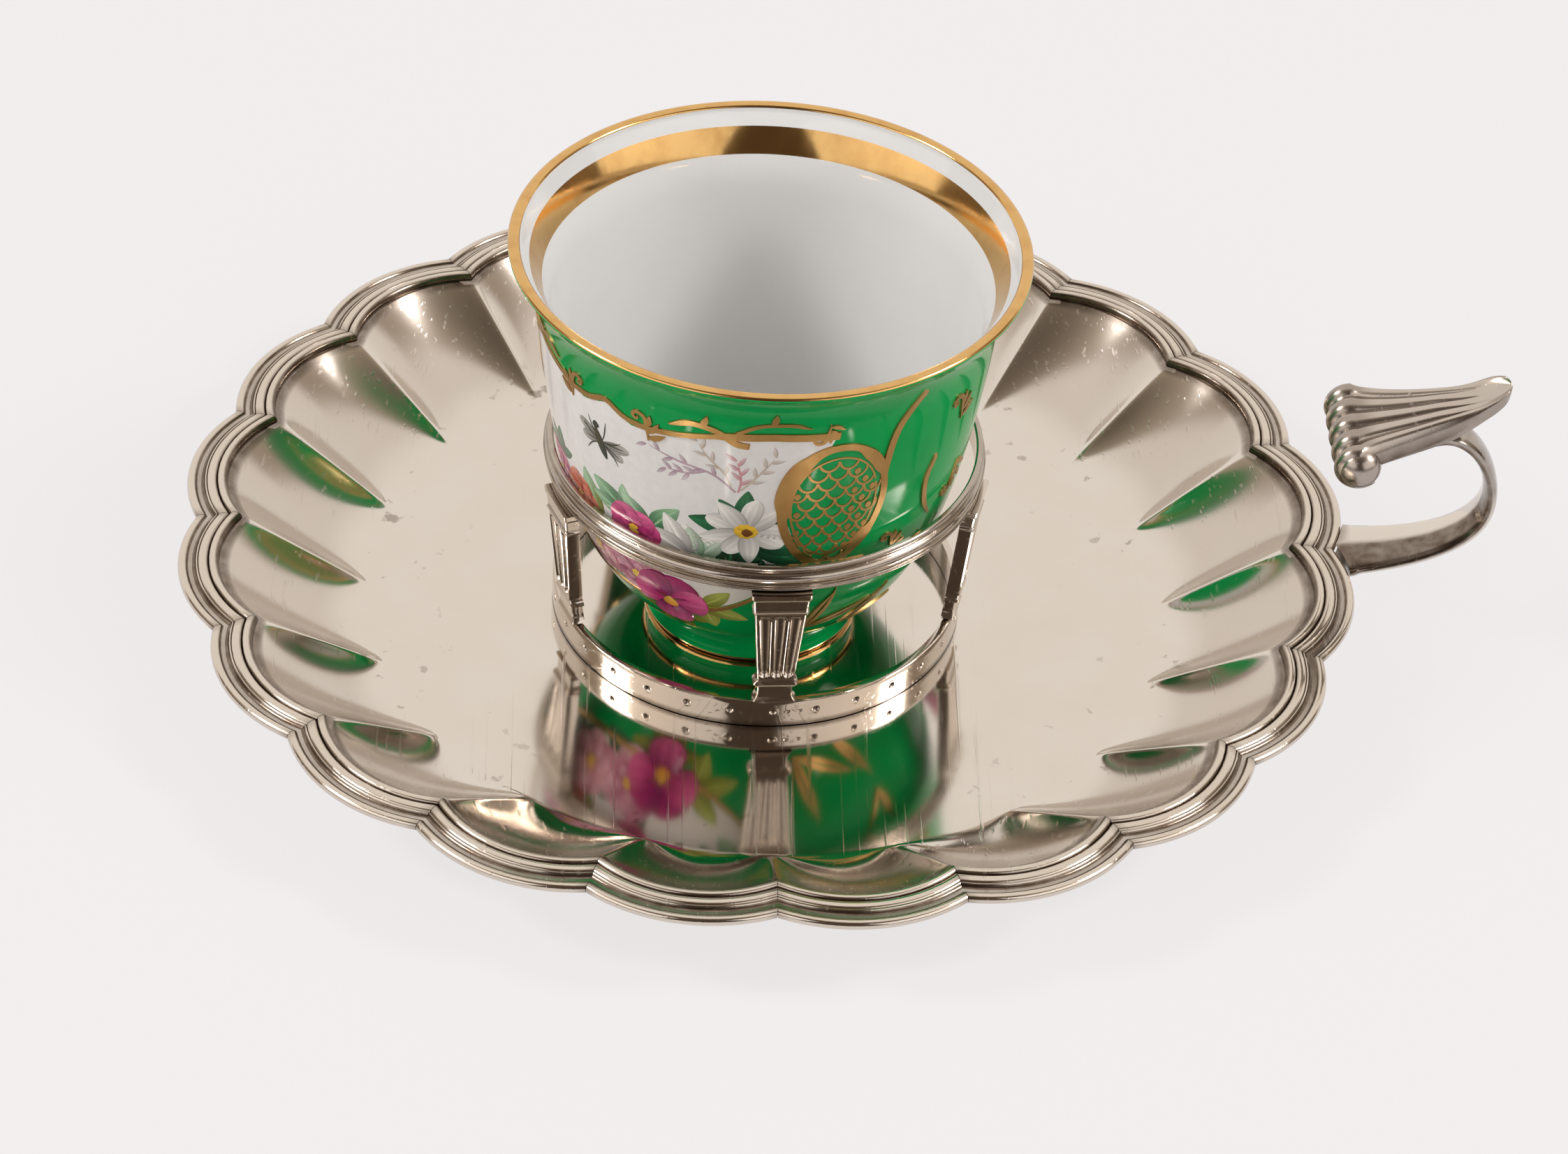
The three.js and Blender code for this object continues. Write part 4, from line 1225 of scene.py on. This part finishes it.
def cartouche(paint, work, centre, half_wide, half_tall, side):
    """An upright pear-shaped field of gilt scales on green in a swelling gilt frame."""
    def shaped(x, y):
        return side * x * (1 + 0.14 * y / half_tall), y

    turn = np.linspace(0, 2 * math.pi, 61)
    rings = np.linspace(0.02, 1, 7)[:, None]
    x, y = shaped(rings * half_wide * np.cos(turn), rings * half_tall * np.sin(turn))
    paint.patch(centre, x, y, 26, np.array(GREEN) * 0.85)
    steps = np.linspace(0.4, 0.4 + 2 * math.pi, 30)
    for share, swell in ((1.0, 1.5), (0.83, 0.4)):
        oval = joined(*shaped(share * half_wide * np.cos(steps), share * half_tall * np.sin(steps)))
        ribbon(work, centre, oval, swell, 44, GILT, (0.8, 0.8), steps=4)
    for start, end, swell in ((95, 200, 3.0), (20, 75, 2.2), (-70, -20, 2.2)):
        steps = np.radians(np.linspace(start, end, 9))
        bow = joined(*shaped(0.97 * half_wide * np.cos(steps), 0.97 * half_tall * np.sin(steps)))
        ribbon(work, centre, bow, swell, 46, GILT, (0.15, 0.15), steps=4)
    pitch_x, pitch_y = 2.9, 2.0
    for row in range(-7, 8):
        for column in range(-4, 5):
            cx = (column + 0.5 * (row % 2)) * pitch_x
            cy = row * pitch_y
            if (cx / (half_wide - 1.9)) ** 2 + (cy / (half_tall - 2.1)) ** 2 > 1:
                continue
            arch = arc((cx, cy), (pitch_x / 2, pitch_y), 180, 360, 7)
            arch = joined(*shaped(arch[:, 0], arch[:, 1]))
            ribbon(work, centre, arch, 0.46, 42, GILT, (0.8, 0.8), steps=2)
            if cx > half_wide * 0.35 or cx < -half_wide * 0.55:
                root = shaped(np.array(cx), np.array(cy - 0.2))
                leaf(work, place_at(centre, float(root[0]), float(root[1])), 270, 1.4, 1.1, GILT, GILT, 42)


def paint_main_spray(paint, centre):
    """The large bouquet of the wide panel, set out from a line left of the panel's middle."""
    def at(angle, length):
        return (centre - 16 + angle, length)

    pale = (PALE_LEAF, (0.52, 0.62, 0.50))
    fresh = (MID_LEAF, PALE_LEAF)
    dark = (DARK_LEAF, MID_LEAF)
    clusters = (
        (28, 39.5, 95, 7.5, fresh, 2, 11, 60, 4),
        (20, 40.5, 140, 7.0, fresh, 3, 22, 50, 3),
        (54, 44.5, 78, 7.6, dark, 2, 12, 52, 5),
        (57, 41, 10, 8.0, dark, 2, 13, 40, 3),
        (52, 40, 240, 8.0, dark, 3, 14, 44, 4),
        (60, 37.5, 200, 8.5, (DARK_LEAF, PALE_LEAF), 4, 23, 40, 3),
        (10, 36, 165, 8.5, (OLIVE, PALE_LEAF), 3, 15),
        (39, 36.5, 100, 8.2, (GREY, WHITE), 5, 16, 36, 4),
        (42, 36, 60, 6.5, pale, 4, 24, 40, 3),
        (42, 23.5, -20, 8.0, (OLIVE, (0.42, 0.48, 0.10)), 3, 17, 60, 3),
        (22, 25, 150, 9.0, dark, 3, 18, 46, 4),
        (30, 19, 270, 6.0, (DARK_LEAF, OLIVE), 3, 19, 50, 4),
        (-14, 33, 150, 8.0, fresh, 3, 20, 46, 4),
        (-8, 27, 220, 7.0, dark, 3, 21, 46, 4),
        (-10, 42, 110, 6.0, dark, 2, 25, 50, 4),
    )
    blossoms = (
        (22.5, 38, 5.6, 7, MAGENTA, PINK, 10, 31),
        (20, 26, 6.2, 7, MAGENTA, PALE_PINK, 9, 32),
        (0, 37, 5.0, 6, RED, (0.72, 0.26, 0.16), 9, 33),
        (-13, 37, 5.2, 7, MAGENTA, PALE_PINK, 9, 34),
        (3, 27, 6.2, 7, (0.50, 0.10, 0.16), PALE_PINK, 9, 35),
    )
    for angle, length, *shape in clusters:
        leaf_cluster(paint, at(angle, length), *shape)
    for angle, length, *shape in blossoms:
        blossom(paint, at(angle, length), *shape)
    pansy(paint, at(31, 23), 6.8, 34)
    daisy(paint, at(55, 44), 7.0, 12, 41)
    sprig(paint, at(52.5, 52), 4)
    insect(paint, at(13.5, 53.4), 5)


def paint_small_spray(paint, centre):
    """A smaller bouquet for the panel on the far side."""
    def at(angle, length):
        return (centre + angle, length)

    leaf_cluster(paint, at(-6, 42), 160, 8, (MID_LEAF, PALE_LEAF), 2, 51, 46, 4)
    leaf_cluster(paint, at(6, 44), 40, 8, (DARK_LEAF, MID_LEAF), 2, 52, 46, 4)
    leaf_cluster(paint, at(0, 38), 270, 7, (OLIVE, PALE_LEAF), 2, 53, 46, 4)
    blossom(paint, at(0, 43), 6.5, 7, MAGENTA, PINK, 9, 54)
    pansy(paint, at(-14, 40), 5.2, 9)
    daisy(paint, at(13, 40), 5.6, 10, 56)
    sprig(paint, at(4, 50), 4)


def gild_panel(work, panel, edge):
    """Gilt scrolls along the top of a panel and a plain line round its foot."""
    centre, half = panel[:2]
    gild_line(work, edge, 0.9, 30)
    shares = np.linspace(-1, 1, 23)
    gild_line(work, [(centre + half * a, panel_top(panel, centre + half * a)) for a in shares], 1.05, 32)
    for side in (1, -1):
        def at(share, rise):
            angle = centre + side * half * share
            return angle, panel_top(panel, angle) + rise

        turn = 0 if side > 0 else 180
        flourish(work, at(0.2, 1.6), 3.2, 34, side, turn)
        flourish(work, at(0.94, -0.6), 2.6, 34, -side, turn)
        falling = ((0.3, 2.0), (0.4, 2.7), (0.5, 1.2), (0.58, -1.4), (0.64, -2.0))
        rising = ((0.58, 0.6), (0.68, 2.6), (0.8, 2.9), (0.88, 1.9))
        gild_line(work, [at(*station) for station in falling], 1.2, 34, (0.3, 1.0))
        gild_line(work, [at(*station) for station in rising], 0.8, 34, (0.9, 0.3))
        gild_line(work, [at(share, 0) for share in np.linspace(0.45, 1, 9)], 1.6, 33, (0.4, 1.0))
        for share, rise, aim, length in ((0.44, 2.2, 50, 2.8), (0.72, 2.8, 60, 2.8)):
            aim = aim if side > 0 else 180 - aim
            leaf(work, at(share, rise), aim, length, 1.2, GILT, GILT, 34, 0.3 * side)


def gild_ground(work):
    """Scrolls on the green between the panels."""
    for mirror in (1, -1):
        def at(angle, length, mirror=mirror):
            return (MAIN_PANEL[0] + mirror * (angle - MAIN_PANEL[0]), length)

        def flipped(points, mirror=mirror):
            return [(mirror * x, y) for x, y in points]

        def aimed(heading, mirror=mirror):
            return heading if mirror > 0 else 180 - heading

        bow = [(3.6, 10.5), (2.2, 8), (-0.4, 3), (-1.4, -3), (-1.2, -9)]
        ribbon(work, at(-57, 59), flipped(bow), 1.3, 50, GILT, (0.9, 0.3))
        hook = [(5, -6), (2.4, -1.5), (1.4, 4), (2.8, 8.5)]
        ribbon(work, at(-46, 44), flipped(hook), 1.1, 50, GILT, (0.2, 0.8))
        gilt_spray(work, at(-74, 17), aimed(48), 13, 50, 4)
        gilt_spray(work, at(-58, 15), aimed(30), 12, 50, 4)
        gilt_spray(work, at(-44, 27), aimed(80), 8, 50, 3)
        flourish(work, at(-34, 61), 3.4, 50, mirror, 90 - 90 * mirror)
        flourish(work, at(-28, 41), 3.6, 50, -mirror, 90 - 90 * mirror)
        flourish(work, at(-52, 38), 2.8, 50, mirror, 90 - 90 * mirror)


def make_painting():
    paint = Paintwork()
    gilt = Paintwork()
    for panel, spray in ((MAIN_PANEL, paint_main_spray), (SMALL_PANEL, paint_small_spray)):
        edge = reserve(paint, panel)
        spray(paint, panel[0])
        gild_panel(gilt, panel, edge)
    for side in (1, -1):
        place = (MAIN_PANEL[0] + side * CARTOUCHE_OFFSET, CARTOUCHE_HEIGHT)
        cartouche(paint, gilt, place, *CARTOUCHE_HALF, side)
    gild_ground(gilt)
    paint.make("cup_painting", ENAMEL)
    gilt.make("cup_gilding", LINE_GOLD)


def make_floor():
    mesh = bpy.data.meshes.new("studio_floor")
    corners = [(x * FLOOR_SIZE, y * FLOOR_SIZE, 0) for x, y in ((-1, -1), (1, -1), (1, 1), (-1, 1))]
    mesh.from_pydata(corners, [], [(0, 1, 2, 3)])
    n = Finish("pale_floor")
    ground = n.mix(n.remap(n.noise(3, 2), 0.3, 0.7), (0.91, 0.85, 0.85), (0.92, 0.86, 0.86))
    mesh.materials.append(n.done(Base_Color=ground, Roughness=0.6, Specular_IOR_Level=0.2))
    path = n.add("ShaderNodeLightPath").outputs
    seen = n.maths("MAXIMUM", path["Is Camera Ray"], path["Is Glossy Ray"])
    seen = n.maths("MAXIMUM", seen, path["Is Transmission Ray"])
    glow = n.add("ShaderNodeEmission")
    n.fill(glow, Color=FLOOR_WHITE)
    blend = n.add("ShaderNodeMixShader")
    n.put(blend.inputs[0], n.maths("MULTIPLY", seen, 1 - SHADOW_SHARE))
    n.put(blend.inputs[1], n.shader.outputs["BSDF"])
    n.put(blend.inputs[2], glow.outputs["Emission"])
    n.fill(n.tree.nodes["Material Output"], Surface=blend.outputs["Shader"])
    floor = bpy.data.objects.new("studio_floor", mesh)
    floor.location.z = FLOOR_DROP
    bpy.context.scene.collection.objects.link(floor)


def add_lamp(name, azimuth, elevation, size, power):
    data = bpy.data.lights.new(name, "AREA")
    data.shape = "RECTANGLE"
    data.size, data.size_y = size
    data.energy = power
    data.color = LAMP_COLOUR
    lamp = bpy.data.objects.new(name, data)
    a, e = math.radians(azimuth), math.radians(elevation)
    away = Vector((math.cos(a) * math.cos(e), math.sin(a) * math.cos(e), math.sin(e)))
    lamp.location = away * LAMP_DISTANCE
    lamp.rotation_euler = away.to_track_quat("Z", "Y").to_euler()
    bpy.context.scene.collection.objects.link(lamp)


def make_world():
    """A pale room behind and above, a dim warm one at the sides, and a dark one behind the camera."""
    world = bpy.data.worlds.new("studio")
    world.use_nodes = True
    bpy.context.scene.world = world
    n = Nodes(world.node_tree)
    way = n.add("ShaderNodeTexCoord").outputs["Generated"]

    def facing(direction, low, high):
        towards = n.add("ShaderNodeVectorMath", operation="DOT_PRODUCT")
        n.put(towards.inputs[0], way)
        n.put(towards.inputs[1], Vector(direction).normalized())
        return n.remap(towards.outputs["Value"], low, high)

    sides = n.mix(facing((0, 0, 1), 0.2, 0.5), LOW_ROOM, HIGH_ROOM)
    room = n.mix(facing((0, -0.85, 0.5), 0.55, 0.9), sides, CAMERA_ROOM)
    overhead = facing((0, 0.602, 0.798), 0.66, 0.72)
    behind = facing((0, 1, 0), 0.42, 0.54)
    seen = n.mix(n.maths("MAXIMUM", overhead, behind), room, PALE_ROOM)
    lighting = n.add("ShaderNodeLightPath").outputs["Diffuse Depth"]
    n.fill(n.tree.nodes["Background"], Color=n.mix(lighting, seen, FILL_LIGHT))


def make_camera():
    e, roll = math.radians(CAMERA_ELEVATION), math.radians(CAMERA_ROLL)
    back = Vector((0, -math.cos(e), math.sin(e)))
    right = Vector((1, 0, 0))
    up = back.cross(right)
    rolled_right = right * math.cos(roll) + up * math.sin(roll)
    rolled_up = up * math.cos(roll) - right * math.sin(roll)
    eye = back * CAMERA_DISTANCE + right * CAMERA_SHIFT[0] + up * CAMERA_SHIFT[1] - Vector(CAMERA_CENTRE)
    axes = Matrix((rolled_right, rolled_up, back)).transposed()
    turn = Matrix.Rotation(math.radians(CAMERA_TURN), 3, "Z")
    data = bpy.data.cameras.new("photo_camera")
    data.lens = CAMERA_LENS
    data.sensor_width = 36
    data.clip_start = 0.01
    camera = bpy.data.objects.new("photo_camera", data)
    camera.matrix_world = Matrix.Translation(turn @ eye * MM) @ (turn @ axes).to_4x4()
    bpy.context.scene.collection.objects.link(camera)
    bpy.context.scene.camera = camera


make_dish()
make_border()
make_band()
make_posts()
make_collar()
make_strap()
make_thumb_rest()
make_scroll_ends()
make_cup()
make_painting()
make_floor()
make_world()
for side, turn in (("right", 1), ("left", -1)):
    for kind, azimuth, elevation, size, power in LAMPS:
        add_lamp(side + "_" + kind, -90 + turn * azimuth, elevation, size, power)
make_camera()
bpy.context.scene.view_settings.view_transform = "Standard"
